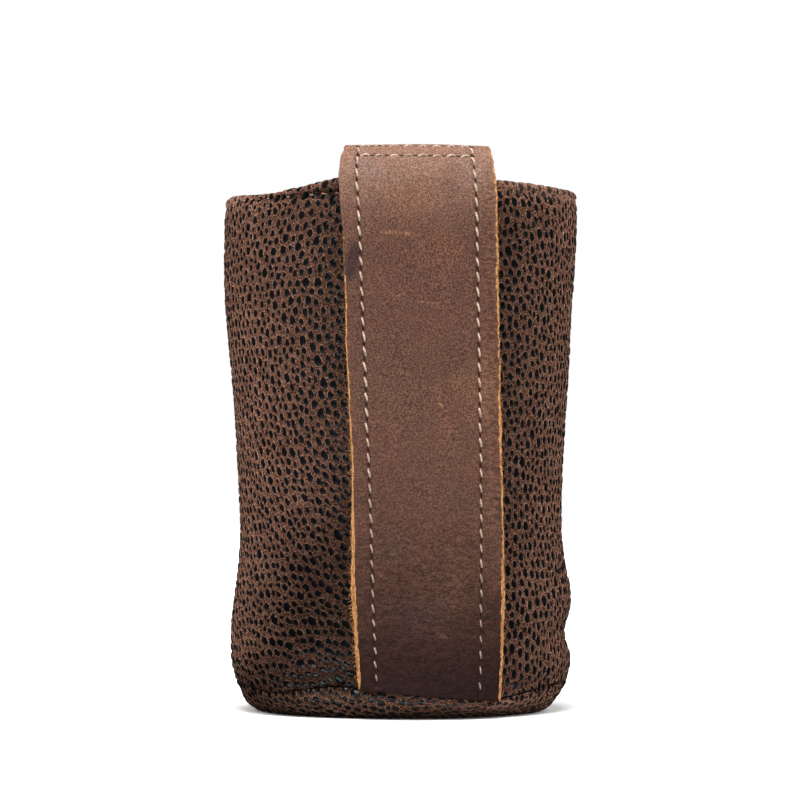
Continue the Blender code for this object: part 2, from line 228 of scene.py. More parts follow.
class Net:
    """The nodes of one material, or of the world."""

    def __init__(self, name, owner=None):
        self.material = owner or bpy.data.materials.new(name)
        self.material.use_nodes = True
        self.tree = self.material.node_tree
        self.tree.nodes.clear()
        self.place = self.add("ShaderNodeTexCoord", out="Object")

    def add(self, kind, settings=None, values=None, out=0):
        """Adds a node, sets it, fills its sockets with numbers or links and gives its output."""
        node = self.tree.nodes.new(kind)
        for name, setting in (settings or {}).items():
            setattr(node, name, setting)
        for name, value in (values or {}).items():
            if isinstance(value, Term):
                self.tree.links.new(value.socket, node.inputs[name])
            else:
                node.inputs[name].default_value = value
        return Term(self, node.outputs[out]) if len(node.outputs) else node

    def vector(self, operation, a, b):
        """A sum of two vectors."""
        return self.add("ShaderNodeVectorMath", {"operation": operation}, {0: a, 1: b})

    def noise(self, per_metre, detail=2.0, roughness=0.5, stretch=(1, 1, 1), distortion=0.0):
        """Fractal noise from 0 to 1, with so many swells to the metre."""
        place = self.vector("MULTIPLY", self.place, stretch)
        values = {"Vector": place, "Scale": per_metre, "Detail": detail}
        values |= {"Roughness": roughness, "Distortion": distortion}
        return self.add("ShaderNodeTexNoise", None, values)

    def wobbled_cells(self, per_metre, wobble):
        """How far inside its cell a point is, for cells with wavy edges: 0 at an edge."""
        values = {"Vector": self.place, "Scale": per_metre * 0.8}
        swell = self.add("ShaderNodeTexNoise", None, values, out="Color")
        place = self.vector("ADD", self.place, self.shade(swell, wobble))
        values = {"Vector": place, "Scale": per_metre}
        return self.add("ShaderNodeTexVoronoi", {"feature": "DISTANCE_TO_EDGE"}, values)

    def painted(self, name):
        """A number that the mesh carries at each vertex."""
        return self.add("ShaderNodeAttribute", {"attribute_name": name}, out="Fac")

    def axes(self):
        """The x, y and z of the point being shaded, or in the world's net of the direction."""
        parts = self.add("ShaderNodeSeparateXYZ", None, {0: self.place})
        return [Term(self, socket) for socket in parts.socket.node.outputs]

    def mix(self, share, a, b):
        """A colour that goes from a to b as the share goes from 0 to 1."""
        return self.add("ShaderNodeMix", {"data_type": "RGBA"}, {0: share, 6: a, 7: b}, out=2)

    def shade(self, colour, light):
        """The colour, or any vector, times a number."""
        values = {0: colour, "Scale": light}
        return self.add("ShaderNodeVectorMath", {"operation": "SCALE"}, values)

    def bump(self, height, distance, strength=1.0):
        """A normal that follows the height, where 1 stands for the distance in metres."""
        values = {"Height": height, "Distance": distance, "Strength": strength}
        return self.add("ShaderNodeBump", None, values)

    def finish(self, colour, roughness, normal, specular=0.5, coat=0.0, coat_roughness=0.2):
        """Joins the results to the surface shader and gives the material."""
        values = {
            "Base Color": colour,
            "Roughness": roughness,
            "Normal": normal,
            "Specular IOR Level": specular,
            "Coat Weight": coat,
            "Coat Roughness": coat_roughness,
        }
        shader = self.add("ShaderNodeBsdfPrincipled", None, values)
        self.add("ShaderNodeOutputMaterial", None, {"Surface": shader})
        return self.material


def rgb(*linear):
    """A colour in linear light, opaque."""
    return (*linear, 1.0)


# %% [markdown]
# The wall is bison hide with a pebble grain: each pebble has a glossy near-black top, and the
# hollows between them show the brown of the hide, paler on the slope just under each top.
# The mesh carries "dome", 0 at the top of a pebble and 1 in the hollow, so the colour follows
# the real relief. A little noise on it makes each black top's outline uneven, like the real ones.
# Between the tops the hide is a net of far finer cells with pale worn edges, a Voronoi pattern.
# %% The pebbled leather
BROWN_DEEP = rgb(0.014, 0.0055, 0.0040)
BROWN_MID = rgb(0.110, 0.0470, 0.0305)
BROWN_PALE = rgb(0.540, 0.3000, 0.2050)
FLECK_GOLD = rgb(0.500, 0.2700, 0.1200)
TIP_BLACK = rgb(0.0025, 0.0035, 0.0045)
TIP_BROWNISH = rgb(0.0080, 0.0065, 0.0065)
# A greyer top: a painted sheen on the flanks and the base's front, and wear on the rim.
TIP_WEAR_AND_SHEEN = rgb(0.0420, 0.0340, 0.0320)


def pebbled_leather():
    """Brown hide with pale veins, and a near-black top on each pebble, glossy where rubbed."""
    net = Net("pebbled_leather")
    dome = net.painted("dome")
    tone = net.painted("tone")
    near = net.painted("near")
    shade_light_wear = net.painted("shade_light_wear")
    rubbed = net.painted("polish")
    speckle = net.noise(1750, detail=3, roughness=0.68)
    ripple = net.noise(1000, detail=2)
    grit = net.noise(3600, detail=2, roughness=0.6)
    cloud = net.noise(70, detail=3)
    cells = net.wobbled_cells(1250, 0.35 * MM)
    reach = dome + (ripple - 0.5) * 0.18 + (speckle - 0.5) * 0.10
    reach = reach + (tone - 0.5) * 0.18 - near * 0.08
    tip = 1 - reach.step(0.545, 0.610)
    slope = reach.hump(0.66, 0.10)
    veins = (1 - cells.step(0.02, 0.15)) * (1 - tip)
    brown = net.mix(speckle.step(0.36, 0.62), BROWN_DEEP, BROWN_MID)
    worn = veins * 0.38 + slope * 0.66 * ripple.step(0.42, 0.60)
    brown = net.mix(worn * grit.step(0.30, 0.62), brown, BROWN_PALE)
    fleck = net.noise(1500, detail=1).step(0.69, 0.76)
    brown = net.mix(fleck * 0.5, brown, FLECK_GOLD)
    # Painted shade darkens the brown; painted light on the flanks and the base's front, and the
    # rim's wear, make it paler.
    brown = net.shade(brown, (0.60 + cloud * 0.64) * (1 - shade_light_wear * 0.66))
    black = net.mix(tone * ripple, TIP_BLACK, TIP_BROWNISH)
    # Where the hide is painted lighter the black tops turn greyer, a painted sheen and the rim's
    # wear; under painted shade they turn blacker and less glossy.
    black = net.mix((shade_light_wear * -1).step(0.1, 0.9) * 0.7, black, TIP_WEAR_AND_SHEEN)
    in_shade = shade_light_wear.step(0.15, 0.95)
    black = net.shade(black, 1 - in_shade * 0.7)
    colour = net.mix(tip, brown, black)
    roughness = 0.72 - tip * 0.20 + grit * 0.10
    relief = (speckle * 0.7 + veins * 0.5) * (1 - tip * 0.9) + ripple * 0.2
    bumped = net.bump(relief, 0.13 * MM, 0.8)
    gloss = tip * ((0.05 + tone * 0.10) * (1 - in_shade * 0.9) + rubbed * (0.70 + tone * 0.30))
    return net.finish(colour, roughness, bumped, specular=0.03, coat=gloss, coat_roughness=0.17)


# %% [markdown]
# Pebbles are laid out like cells. Points are scattered as an uneven honeycomb over the flat cut
# of the leather and joined into triangles; each point's cell is bounded by the middles of its
# triangles' edges and by a point inside each triangle, both drawn towards the smaller neighbour.
# Every cell gets a dome: its centre, two rings pulled round, and the shared hollow round it.
# Real relief, and not only a bump in the shader, lets pebbles hide one another at the outline.
# %% Scatter points like the grain
SMALLEST_AREA = 1e-12
JITTER = 0.42


def triangles_of(points):
    """The Delaunay triangles of flat points, as rows of three point numbers, anticlockwise."""
    found = geometry.delaunay_2d_cdt((points / MM).tolist(), [], [], 0, 1e-6)
    source = np.array([group[0] for group in found[3]])
    tris = source[np.array(found[2])]
    a, b, c = (points[tris[:, i]] for i in range(3))
    area = (b[:, 0] - a[:, 0]) * (c[:, 1] - a[:, 1]) - (b[:, 1] - a[:, 1]) * (c[:, 0] - a[:, 0])
    tris = tris[np.abs(area) > SMALLEST_AREA]
    area = area[np.abs(area) > SMALLEST_AREA]
    tris[area < 0] = tris[area < 0][:, ::-1]
    return tris


def sides_of(tris):
    """Every triangle's three directed edges."""
    return np.concatenate([tris[:, [0, 1]], tris[:, [1, 2]], tris[:, [2, 0]]])


def relaxed(points, fixed):
    """The points moved half way to the middle of their neighbours; fixed ones stay."""
    tris = triangles_of(points)
    total = np.zeros_like(points)
    count = np.zeros(len(points))
    for i in range(3):
        for j in (1, 2):
            np.add.at(total, tris[:, i], points[tris[:, (i + j) % 3]])
            np.add.at(count, tris[:, i], 1)
    middle = total / count[:, None]
    return np.where(fixed[:, None], points, points + 0.5 * (middle - points))


def honeycomb(width, height, cell_area, rng):
    """Jittered rows over a rectangle centred on 0, 0, every other row shifted by half a step."""
    step = math.sqrt(2 * cell_area / math.sqrt(3))
    rows = max(2, round(height / (step * math.sqrt(3) / 2)))
    columns = round(width / step)
    shift = 0.5 * (np.arange(rows)[:, None] % 2)
    x = (np.arange(columns)[None, :] + 0.25 + shift) * width / columns
    y = np.repeat((np.arange(rows)[:, None] + 0.5) * height / rows, columns, axis=1)
    points = np.stack([x - width / 2, y - height / 2], axis=-1).reshape(-1, 2)
    return points + rng.uniform(-JITTER, JITTER, points.shape) * step


# %% Grow a dome on every cell
RING_TOP = 0.42
RING_FOOT = 0.76
ROUNDING = 0.84
SMALL_SHARE = 0.24
SMALL_SIZES = (0.50, 0.74)
LARGE_SIZES = (0.88, 1.22)
RISES = (0.78, 1.18)
HOLLOWS = (-0.10, 0.05)
RING_LIFTS = (0.86, 0.17)
BARE_DOMES = (0.82, 0.86, 0.93)


def pebbles(points, bare, rng, height, lean, drawn):
    """Turns points into domed cells.

    A cell's edge lies on each joining line where the two sizes meet: a + (b - a) * ra / (ra + rb).
    Ring points lie on the way to the cell's edge at a share of a mix of that way and its mean,
    drawn out along the lean's direction and in across it by the cosine of twice the angle between,
    where drawn is the share that this adds at most.
    Gives flat positions, lift, dome, tone and triangles.
    """
    count = len(points)
    tris = triangles_of(points)
    small = rng.random(count) < SMALL_SHARE
    size = np.where(small, rng.uniform(*SMALL_SIZES, count), rng.uniform(*LARGE_SIZES, count))
    edges, edge_of = np.unique(np.sort(sides_of(tris), axis=1), axis=0, return_inverse=True)
    edge_of = edge_of.reshape(3, -1).T
    a, b = points[edges[:, 0]], points[edges[:, 1]]
    share = size[edges[:, 0]] / (size[edges[:, 0]] + size[edges[:, 1]])
    middle = a + (b - a) * share[:, None]
    pull = 1 / size[tris]
    corner = (points[tris] * pull[:, :, None]).sum(1) / pull.sum(1)[:, None]

    shared = len(tris) + len(edges)
    site = np.concatenate([tris.reshape(-1), edges.reshape(-1)])
    way = np.concatenate([np.repeat(corner, 3, axis=0), np.repeat(middle, 2, axis=0)])
    way = way - points[site]
    length = np.linalg.norm(way, axis=1)
    mean = np.bincount(site, length, count) / np.bincount(site, minlength=count)
    reach = np.minimum((1 - ROUNDING) * length + ROUNDING * mean[site], 1.12 * length)
    spoke = way / length[:, None]
    turn = np.arctan2(spoke[:, 1], spoke[:, 0]) - np.radians(lean[site])
    long = drawn[site] * np.cos(2 * turn)
    foot_reach = np.minimum(RING_FOOT * reach * (1 + 0.6 * long), 0.93 * length)
    top_reach = np.minimum(RING_TOP * reach * (1 + long), 0.82 * foot_reach)
    top = points[site] + spoke * top_reach[:, None]
    foot = points[site] + spoke * foot_reach[:, None]

    rise = height * (mean / np.median(mean)) ** 0.6 * rng.uniform(*RISES, count)
    rise = np.where(bare, 0, rise)
    slack = rng.uniform(*HOLLOWS, shared) * height
    flat = np.concatenate([points, top, foot, corner, middle])
    lift = np.concatenate([rise, RING_LIFTS[0] * rise[site], RING_LIFTS[1] * rise[site], slack])
    dome = np.concatenate([
        np.where(bare, BARE_DOMES[0], 0),
        np.where(bare[site], BARE_DOMES[1], RING_TOP),
        np.where(bare[site], BARE_DOMES[2], RING_FOOT),
        np.ones(shared),
    ])
    own = rng.random(count)
    tone = np.concatenate([own, own[site], own[site], np.full(shared, 0.5)])

    ring = len(site)
    first_rim = count + 2 * ring
    each = np.arange(len(tris))
    faces = []
    for i in range(3):
        here = tris[:, i]
        to_corner = (3 * each + i, first_rim + each)
        for edge, turn in ((edge_of[:, i], 1), (edge_of[:, (i + 2) % 3], -1)):
            spoke_number = 3 * len(tris) + 2 * edge + (edges[edge, 1] == here)
            to_middle = (spoke_number, first_rim + len(tris) + edge)
            (p, rim_p), (q, rim_q) = (to_middle, to_corner)[::turn]
            top_p, top_q = count + p, count + q
            foot_p, foot_q = top_p + ring, top_q + ring
            faces += [
                (here, top_p, top_q),
                (top_p, foot_p, foot_q),
                (top_p, foot_q, top_q),
                (foot_p, rim_p, rim_q),
                (foot_p, rim_q, foot_q),
            ]
    return flat, lift, dome, tone, np.concatenate([np.stack(face, 1) for face in faces])


def backed(flat, lift, dome, tone, tris, filler, depth):
    """Closes a pebbled sheet: its border is carried down, and a plain flesh side spans it.

    The border is the directed edges that only one triangle uses. The flesh side is the Delaunay
    mesh of the border's points and the filler points, facing down.
    """
    steps = sides_of(tris)
    _, which, times = np.unique(
        np.sort(steps, axis=1), axis=0, return_inverse=True, return_counts=True
    )
    start, stop = steps[times[which.reshape(-1)] == 1].T
    loop = np.unique([start, stop])
    count = len(flat)
    under = np.concatenate([flat[loop], filler])
    twin = np.full(count, -1)
    twin[loop] = count + np.arange(len(loop))
    walls = [(stop, start, twin[start]), (stop, twin[start], twin[stop])]
    below = triangles_of(under)[:, ::-1] + count
    total = len(under)
    return (
        np.concatenate([flat, under]),
        np.concatenate([lift, np.full(total, -depth)]),
        np.concatenate([dome, np.full(total, 0.9)]),
        np.concatenate([tone, np.full(total, 0.5)]),
        np.concatenate([tris, *(np.stack(wall, 1) for wall in walls), below]),
    )


# %% Put numbers into a mesh
def new_piece(name, places, faces, material, paint=None):
    """A smooth mesh object of triangles or quads, with any painted numbers, at the origin."""
    mesh = bpy.data.meshes.new(name)
    faces = np.asarray(faces)
    sides = faces.shape[1]
    mesh.vertices.add(len(places))
    mesh.vertices.foreach_set("co", np.asarray(places, dtype=np.float32).ravel())
    mesh.loops.add(faces.size)
    mesh.loops.foreach_set("vertex_index", faces.astype(np.int32).ravel())
    mesh.polygons.add(len(faces))
    mesh.polygons.foreach_set("loop_start", np.arange(0, faces.size, sides, dtype=np.int32))
    mesh.update(calc_edges=True)
    for label, numbers in (paint or {}).items():
        layer = mesh.attributes.new(label, "FLOAT", "POINT")
        layer.data.foreach_set("value", np.asarray(numbers, dtype=np.float32))
    mesh.shade_smooth()
    mesh.materials.append(material)
    mesh.validate()
    piece = bpy.data.objects.new(name, mesh)
    bpy.context.scene.collection.objects.link(piece)
    print(f"{name}: {len(faces)} faces, {time.time() - STARTED:.1f} s so far")
    return piece


def fitted(piece, node=None):
    """Fixes a piece to the sleeve's one body, in place of the solid it stands for."""
    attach(piece, "root")
    if node:
        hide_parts(node)
    return piece


def split(*corners):
    """Two triangles for each quad, from four equal arrays with the numbers of its corners."""
    quads = np.stack(corners, axis=-1).reshape(-1, 4)
    return np.concatenate([quads[:, [0, 1, 2]], quads[:, [0, 2, 3]]])


# %% [markdown]
# Seen from its edge, the wall's leather runs out of the base seam, up the outside, round over the
# rim and down inside as a hem. That edge view is one line, measured along its length, and a
# pebble's place in the flat cut is its distance round the sleeve and its distance along the line.
# The leather is cut in two halves that meet behind the strap and at the back, where each turns in.
# %% The wall's line from the seam over the rim to the hem
CREASE_ROUND = 0.50 * MM
CREASE_FILL = 0.34 * MM
CREASE_FILL_REACH = 0.75 * MM
ROLL_SQUARE = 0.58
ROLL_PRESS = 0.2 * MM
TUCK = 1.4 * MM
WALL_FLAT_RADIUS = 39.3 * MM
RIM_GROOVE = 0.80 * MM
RIM_GROOVE_REACH = 0.75 * MM


def measured(radius, z):
    """A line as radius, height, normal, turned right of the way, and length so far."""
    line = np.stack([radius, z], axis=1)
    step = np.gradient(line, axis=0)
    step /= np.linalg.norm(step, axis=1)[:, None]
    length = np.concatenate([[0], np.cumsum(np.linalg.norm(np.diff(line, axis=0), axis=1))])
    return {"r": line[:, 0], "z": line[:, 1], "nr": step[:, 1], "nz": -step[:, 0], "s": length}


def wall_line():
    """The grain side from its edge: tuck, crease, outside, a squarish roll over the rim, hem."""
    inner = wall_radius(WALL_START + CREASE_ROUND)
    turn = np.linspace(-math.pi / 2, 0, 16)
    climb = np.linspace(WALL_START + CREASE_ROUND, FOLD_HEIGHT, 420)[1:]
    half = FOLD_THICKNESS / 2
    over = np.linspace(0, math.pi, 60)[1:]
    out = np.sign(np.cos(over)) * np.abs(np.cos(over)) ** ROLL_SQUARE
    rise = np.sin(over).clip(0) ** ROLL_SQUARE
    hem = np.linspace(FOLD_HEIGHT, FOLD_HEIGHT + half - HEM_DEPTH, 30)[1:]
    tuck = np.linspace(inner - CREASE_ROUND - TUCK, inner - CREASE_ROUND, 8)[:-1]
    radius = np.concatenate([
        tuck,
        inner - CREASE_ROUND + CREASE_ROUND * np.cos(turn),
        wall_radius(climb),
        RIM_RADIUS - half + half * out,
        np.full(len(hem), RIM_INNER_RADIUS),
    ])
    z = np.concatenate([
        np.full(len(tuck), WALL_START),
        WALL_START + CREASE_ROUND + CREASE_ROUND * np.sin(turn),
        climb,
        FOLD_HEIGHT + (half - ROLL_PRESS) * rise,
        hem,
    ])
    return measured(radius, z)


WALL_LINE = wall_line()
WALL_LENGTH = WALL_LINE["s"][-1]
RISING = 440
RIM_STITCH_AT = float(np.interp(
    SLEEVE_HEIGHT - RIM_STITCH_DROP, WALL_LINE["z"][:RISING], WALL_LINE["s"][:RISING]
))
RIM_STITCHES = 78
RIM_STITCH_PITCH = 360 / RIM_STITCHES
print(f"the wall's leather is {WALL_LENGTH / MM:.1f} mm from tuck to hem edge")


def read(line, s, *keys):
    """What a measured line holds at the length s, for each key."""
    return [np.interp(s, line["s"], line[key]) for key in keys]


def on_line(line, s, lift):
    """Radius and height of a point on a measured line, lifted along its normal."""
    radius, z, out, up = read(line, s, "r", "z", "nr", "nz")
    return radius + lift * out, z + lift * up


def rim_row(degrees):
    """Where the rim's stitching runs along the line: level where the rim itself rises or falls."""
    shift = 2.5 * around(degrees, -62, 26) - 1.3 * around(degrees, -14, 18)
    return RIM_STITCH_AT + (shift + 1.6 * around(degrees, 58, 28)) * MM


def crease_fill(degrees, along):
    """How much the turned edge stands out beside the crease: little in front, most at the sides."""
    aside = 0.25 + 0.75 * smooth((np.abs(turn_from(degrees, 0)) - 34) / 26)
    return CREASE_FILL * aside * bell(along - TUCK - 0.4 * MM, CREASE_FILL_REACH)


def rim_press(degrees, s):
    """How deep the rim's stitching presses in: a groove along the row, deeper at each hole."""
    row = bell(s - rim_row(degrees), RIM_GROOVE_REACH)
    hole = bell(turn_from(degrees, 0) / RIM_STITCH_PITCH % 1 - 0.5, 0.16)
    shallow = 1 - 0.7 * smooth((np.abs(turn_from(degrees, 0)) - 48) / 24)
    return RIM_GROOVE * row * shallow * (0.75 + 0.6 * hole)


def on_wall(degrees, s, lift):
    """A point of the wall: its angle, its length along the line and its lift off the leather."""
    radius, z = on_line(WALL_LINE, s, lift - rim_press(degrees, s) + crease_fill(degrees, s))
    return on_sleeve(radius, degrees, z)


# %% Cut and grow the two halves of the wall
PEBBLE_AREA = 5.05 * MM * MM
PEBBLE_HEIGHT = 0.29 * MM
LEFT_LEAN = (18, 106)
LEFT_DRAWN = (0.42, 0.10)
RIGHT_LEAN = (96, 112)
RIGHT_DRAWN = (0.10, 0.18)
PEBBLE_STRETCH = 1.04
PEBBLE_CROWDING = 0.05
NEAR_STRAP = 52
JOIN_DEPTH = 0.55 * MM
JOIN_REACH = 0.80 * MM
RIM_DRY = 0.9
RIM_DRY_REACH = 3.2 * MM
ROW_SHADE = 1.5
ROW_SHADE_REACH = 0.9 * MM
FLESH_STEP = 6.0 * MM
EDGE_STEP = 0.9
EDGE_MARGIN = 0.55


def edge_points(width, height, step):
    """Evenly spaced points round a rectangle centred on 0, 0, its corners among them."""
    across = np.linspace(-width / 2, width / 2, round(width / step) + 1)
    up = np.linspace(-height / 2, height / 2, round(height / step) + 1)[1:-1]
    level = [np.stack([across, np.full(len(across), y)], 1) for y in (-height / 2, height / 2)]
    upright = [np.stack([np.full(len(up), x), up], 1) for x in (-width / 2, width / 2)]
    return np.concatenate(level + upright)


def shade_light_wear_share(degrees, z, from_crease):
    """How much darker the hide is painted; below 0 it is painted lighter.

    Painted shade: the strap's shadow beside it, the crease, and under the base's left corner.
    It is also darker low on the strap's left. Painted light: both flanks and the base's front.
    """
    # Painted shade: the strap's shadow on the hide beside it.
    beside = 0.85 * around(degrees, 0, 42)
    low = 0.85 * around(degrees, -38, 30) * fade(z, 18 * MM, 45 * MM)
    # Painted shade under the base's left corner, then painted light on the base's front.
    under = 0.80 * around(degrees, -72, 46) * fade(z, 4 * MM, 14 * MM)
    under = under - 0.7 * around(degrees, 8, 42) * fade(z, 4 * MM, 2 * MM)
    # Painted light on both flanks.
    flanks = 0.34 * around(degrees, -78, 30) * bell(z - 60 * MM, 26 * MM)
    flanks = flanks + 0.28 * around(degrees, 78, 34) * bell(z - 88 * MM, 45 * MM)
    spread = (beside + low) * smooth((z - 5 * MM) / (3 * MM)) + under - flanks
    # Painted shade in the crease.
    return np.clip(spread + 0.75 * bell(from_crease, 0.9 * MM), -1, 1)


def polish(degrees, z):
    """Where pebbles are rubbed glossy: beside the strap, over the crease, on the base's front."""
    beside = 0.42 * around(degrees, 0, 40) * smooth((z - 30 * MM) / (30 * MM))
    bulge = 0.9 * bell(z - 10 * MM, 4.5 * MM) * around(degrees, -37, 18)
    front = bell(z - 4.5 * MM, 2.6 * MM) * around(degrees, 8, 34)
    return np.clip(beside + bulge + front, 0, 1)


def pebbled_piece(name, places, degrees, dome, tone, near, shade_light_wear, tris, node):
    """The mesh of a pebbled sheet in its place, with the numbers that its material reads."""
    paint = {"dome": dome, "tone": tone, "near": near, "shade_light_wear": shade_light_wear}
    paint["polish"] = polish(degrees, places[:, 2])
    return fitted(new_piece(name, places, tris, PEBBLED, paint), node)


def wall_half(name, side, seed):
    """One half of the wall: a flat sheet of pebbles, rolled round the sleeve from the strap on."""
    rng = np.random.default_rng(seed)
    width = math.pi * WALL_FLAT_RADIUS
    wide = width * PEBBLE_STRETCH
    tall = WALL_LENGTH / PEBBLE_STRETCH
    step = math.sqrt(PEBBLE_AREA)
    edge = edge_points(wide, tall, step * EDGE_STEP)
    inner = honeycomb(wide, tall, PEBBLE_AREA, rng)
    margin = EDGE_MARGIN * step
    clear = (np.abs(inner) < np.array([wide, tall]) / 2 - margin).all(axis=1)
    points = np.concatenate([edge, inner[clear]])
    fixed = np.arange(len(points)) < len(edge)
    points = relaxed(points, fixed)
    height = smooth(points[:, 1] / tall + 0.5)
    lean = np.interp(height, (0, 1), LEFT_LEAN if side < 0 else RIGHT_LEAN)
    drawn = np.interp(height, (0, 1), LEFT_DRAWN if side < 0 else RIGHT_DRAWN)
    grown = pebbles(points, fixed, rng, PEBBLE_HEIGHT, lean, drawn)
    filler = honeycomb(wide - FLESH_STEP, tall - FLESH_STEP, FLESH_STEP ** 2, rng)
    flat, lift, dome, tone, tris = backed(*grown, filler, LEATHER)

    share = flat[:, 0] / wide + 0.5
    share = (1 - PEBBLE_CROWDING) * share + PEBBLE_CROWDING * share ** 4
    flat = np.stack([(share - 0.5) * width, flat[:, 1] * PEBBLE_STRETCH], axis=1)
    degrees = side * np.degrees((flat[:, 0] + width / 2) / WALL_FLAT_RADIUS)
    s = flat[:, 1] + WALL_LENGTH / 2
    from_join = np.minimum(flat[:, 0] + width / 2, width / 2 - flat[:, 0])
    sunk = lift - JOIN_DEPTH * bell(from_join, JOIN_REACH) * (lift > -LEATHER)
    past_row = s - rim_row(degrees)
    sewn = 1 - 0.75 * bell(past_row, RIM_GROOVE_REACH) - 0.35 * smooth(past_row / MM - 1)
    places = on_wall(degrees, s, np.where(sunk > 0, sunk * sewn, sunk))

    turned = turn_from(degrees, 0)
    near = around(degrees, 0, NEAR_STRAP) - 0.7 * smooth(past_row / (2 * MM))
    aside = smooth((-turned - 14) / 50) + 1.4 * smooth((turned - 8) / 20)
    dry = RIM_DRY * aside * bell(past_row - 1.8 * MM, RIM_DRY_REACH)
    in_front = fade(-turned, 50, 30) * fade(turned, 0, 16)
    # Painted shade along the rim's stitch row, under the roll, in front.
    shade = ROW_SHADE * bell(past_row, ROW_SHADE_REACH) * in_front
    shade_light_wear = np.clip(shade_light_wear_share(degrees, places[:, 2], s - TUCK) - dry + shade, -1, 1)
    if side < 0:
        tris = tris[:, ::-1]
    return pebbled_piece(name, places, degrees, dome, tone, near, shade_light_wear, tris, "wall_leather")


PEBBLED = pebbled_leather()
wall_half("wall_left", -1, 11)
wall_half("wall_right", 1, 12)

# %% [markdown]
# The base is a disc of the same leather. Its edge turns in under the wall's edge, so that only a
# crease shows, and just inside the crease it rounds over to the flat that the sleeve stands on.
# Its flat cut is a disc too, so the pebbles are scattered in a square and the disc is cut from it.
# %% The base's line and its pebbles
BASE_PEBBLE_AREA = 3.9 * MM * MM
BASE_DRAWN = 0.17
BASE_PRESSED = 0.9
FLAT_STEPS = 60


def base_line():
    """The underside from its middle: the flat, the rounded corner, the crease and the tuck."""
    flat = HIP_RADIUS - BASE_CORNER - CREASE_DEPTH
    outer = float(wall_radius(BASE_END))
    turn = np.linspace(0, math.pi / 2, 60)[1:]
    fold = np.linspace(0, math.pi / 2, 14)[1:]
    low = BASE_END - CREASE_ROUND
    tuck = np.linspace(outer - CREASE_ROUND, outer - CREASE_ROUND - TUCK, 8)[1:]
    radius = np.concatenate([
        np.linspace(0, flat, FLAT_STEPS),
        flat + (outer - flat) * np.sin(turn),
        outer - CREASE_ROUND + CREASE_ROUND * np.cos(fold),
        tuck,
    ])
    z = np.concatenate([
        np.zeros(FLAT_STEPS),
        low * (1 - np.cos(turn)),
        low + CREASE_ROUND * np.sin(fold),
        np.full(len(tuck), BASE_END),
    ])
    return measured(radius, z)


BASE_LINE = base_line()
BASE_LENGTH = BASE_LINE["s"][-1]


def base(name, seed):
    """The base: a flat disc of pebbles, pressed flat where it stands, drawn up to the crease."""
    rng = np.random.default_rng(seed)
    step = math.sqrt(BASE_PEBBLE_AREA)
    count = round(2 * math.pi * BASE_LENGTH / (EDGE_STEP * step))
    turn = np.linspace(0, 2 * math.pi, count, endpoint=False)
    edge = BASE_LENGTH * np.stack([np.sin(turn), np.cos(turn)], 1)
    inner = honeycomb(2 * BASE_LENGTH, 2 * BASE_LENGTH, BASE_PEBBLE_AREA, rng)
    inner = inner[np.linalg.norm(inner, axis=1) < BASE_LENGTH - EDGE_MARGIN * step]
    points = np.concatenate([edge, inner])
    fixed = np.arange(len(points)) < len(edge)
    points = relaxed(points, fixed)
    lean, drawn = np.zeros(len(points)), np.full(len(points), BASE_DRAWN)
    grown = pebbles(points, fixed, rng, PEBBLE_HEIGHT, lean, drawn)
    filler = honeycomb(2 * BASE_LENGTH, 2 * BASE_LENGTH, FLESH_STEP ** 2, rng)
    filler = filler[np.linalg.norm(filler, axis=1) < BASE_LENGTH - FLESH_STEP]
    flat, lift, dome, tone, tris = backed(*grown, filler, LEATHER)

    s = np.linalg.norm(flat, axis=1)
    degrees = np.degrees(np.arctan2(flat[:, 0], flat[:, 1]))
    pressed = smooth((BASE_LINE["r"][FLAT_STEPS] - s) / BASE_CORNER)
    low = lift * (1 - BASE_PRESSED * pressed) - PEBBLE_HEIGHT * 0.1 * pressed
    lift = np.where(lift > 0, low, lift)
    radius, z = on_line(BASE_LINE, s, lift + crease_fill(degrees, BASE_LENGTH - s))
    places = on_sleeve(radius, degrees, z)
    places[:, 2] = np.maximum(places[:, 2], 0)
    near = around(degrees, 0, NEAR_STRAP)
    # Painted shade in the crease and under the left corner, painted light on the front.
    shade_light_wear = shade_light_wear_share(degrees, places[:, 2], BASE_LENGTH - TUCK - s)
    return pebbled_piece(name, places, degrees, dome, tone, near, shade_light_wear, tris, "base_leather")


base("base_skin", 13)

# %% [markdown]
# The strap's two layers are cut from one smooth oiled hide, sewn together along both sides.
# Seen from its edge the strap is a line again: out of the base seam, up in a shallow bow that
# leaves room for the fingers, over the rim in an arch, and down inside. Every point of the strap
# is its length along that line, its place across it and its depth below the grain side.
# %% The strap's line
STRAP_WIDTH_TOP = 35.2 * MM
STRAP_WIDTH_FOOT = 32.2 * MM
STRAP_STANDOFF = 7.0 * MM
STRAP_FOOT = 5.5 * MM
STRAP_FOOT_SLANT = 1.5 * MM
STRAP_RISE = 7.5 * MM
STRAP_ARCH = 17.5 * MM
STRAP_INNER_ARCH = 10.5 * MM
STRAP_TAIL = 18.0 * MM
STRAP_FULL_BOW = 60.0 * MM
STRAP_BOW_POWER = 2.4
STRAP_LEAN = 1.7 * MM
STRAP_PINCH = 1.2 * MM
RIGHT_PINCH = 0.3 * MM
RIGHT_TRIM = 0.3 * MM
LEFT_FLARE = 0.4 * MM
LEFT_TAPER = 2.2 * MM
LEFT_CORNER = 0.9 * MM
RIGHT_FLARE = 0.45 * MM
FOOT_TAPER = 0.85 * MM
FOOT_TAPER_REACH = 24.0 * MM
STRAP_WRAP = 0.30
LEFT_ROW_INSET = 3.6 * MM
RIGHT_ROW_INSET = 4.9 * MM
UPPER_ROW_ANGLE = 78
LOWER_ROW_ANGLE = 57
STRAP_THICKNESS = 2 * STRAP_LAYER + LAYER_GAP
APEX_HEIGHT = SLEEVE_HEIGHT + STRAP_RISE
ARCH_HEIGHT = APEX_HEIGHT - STRAP_ARCH


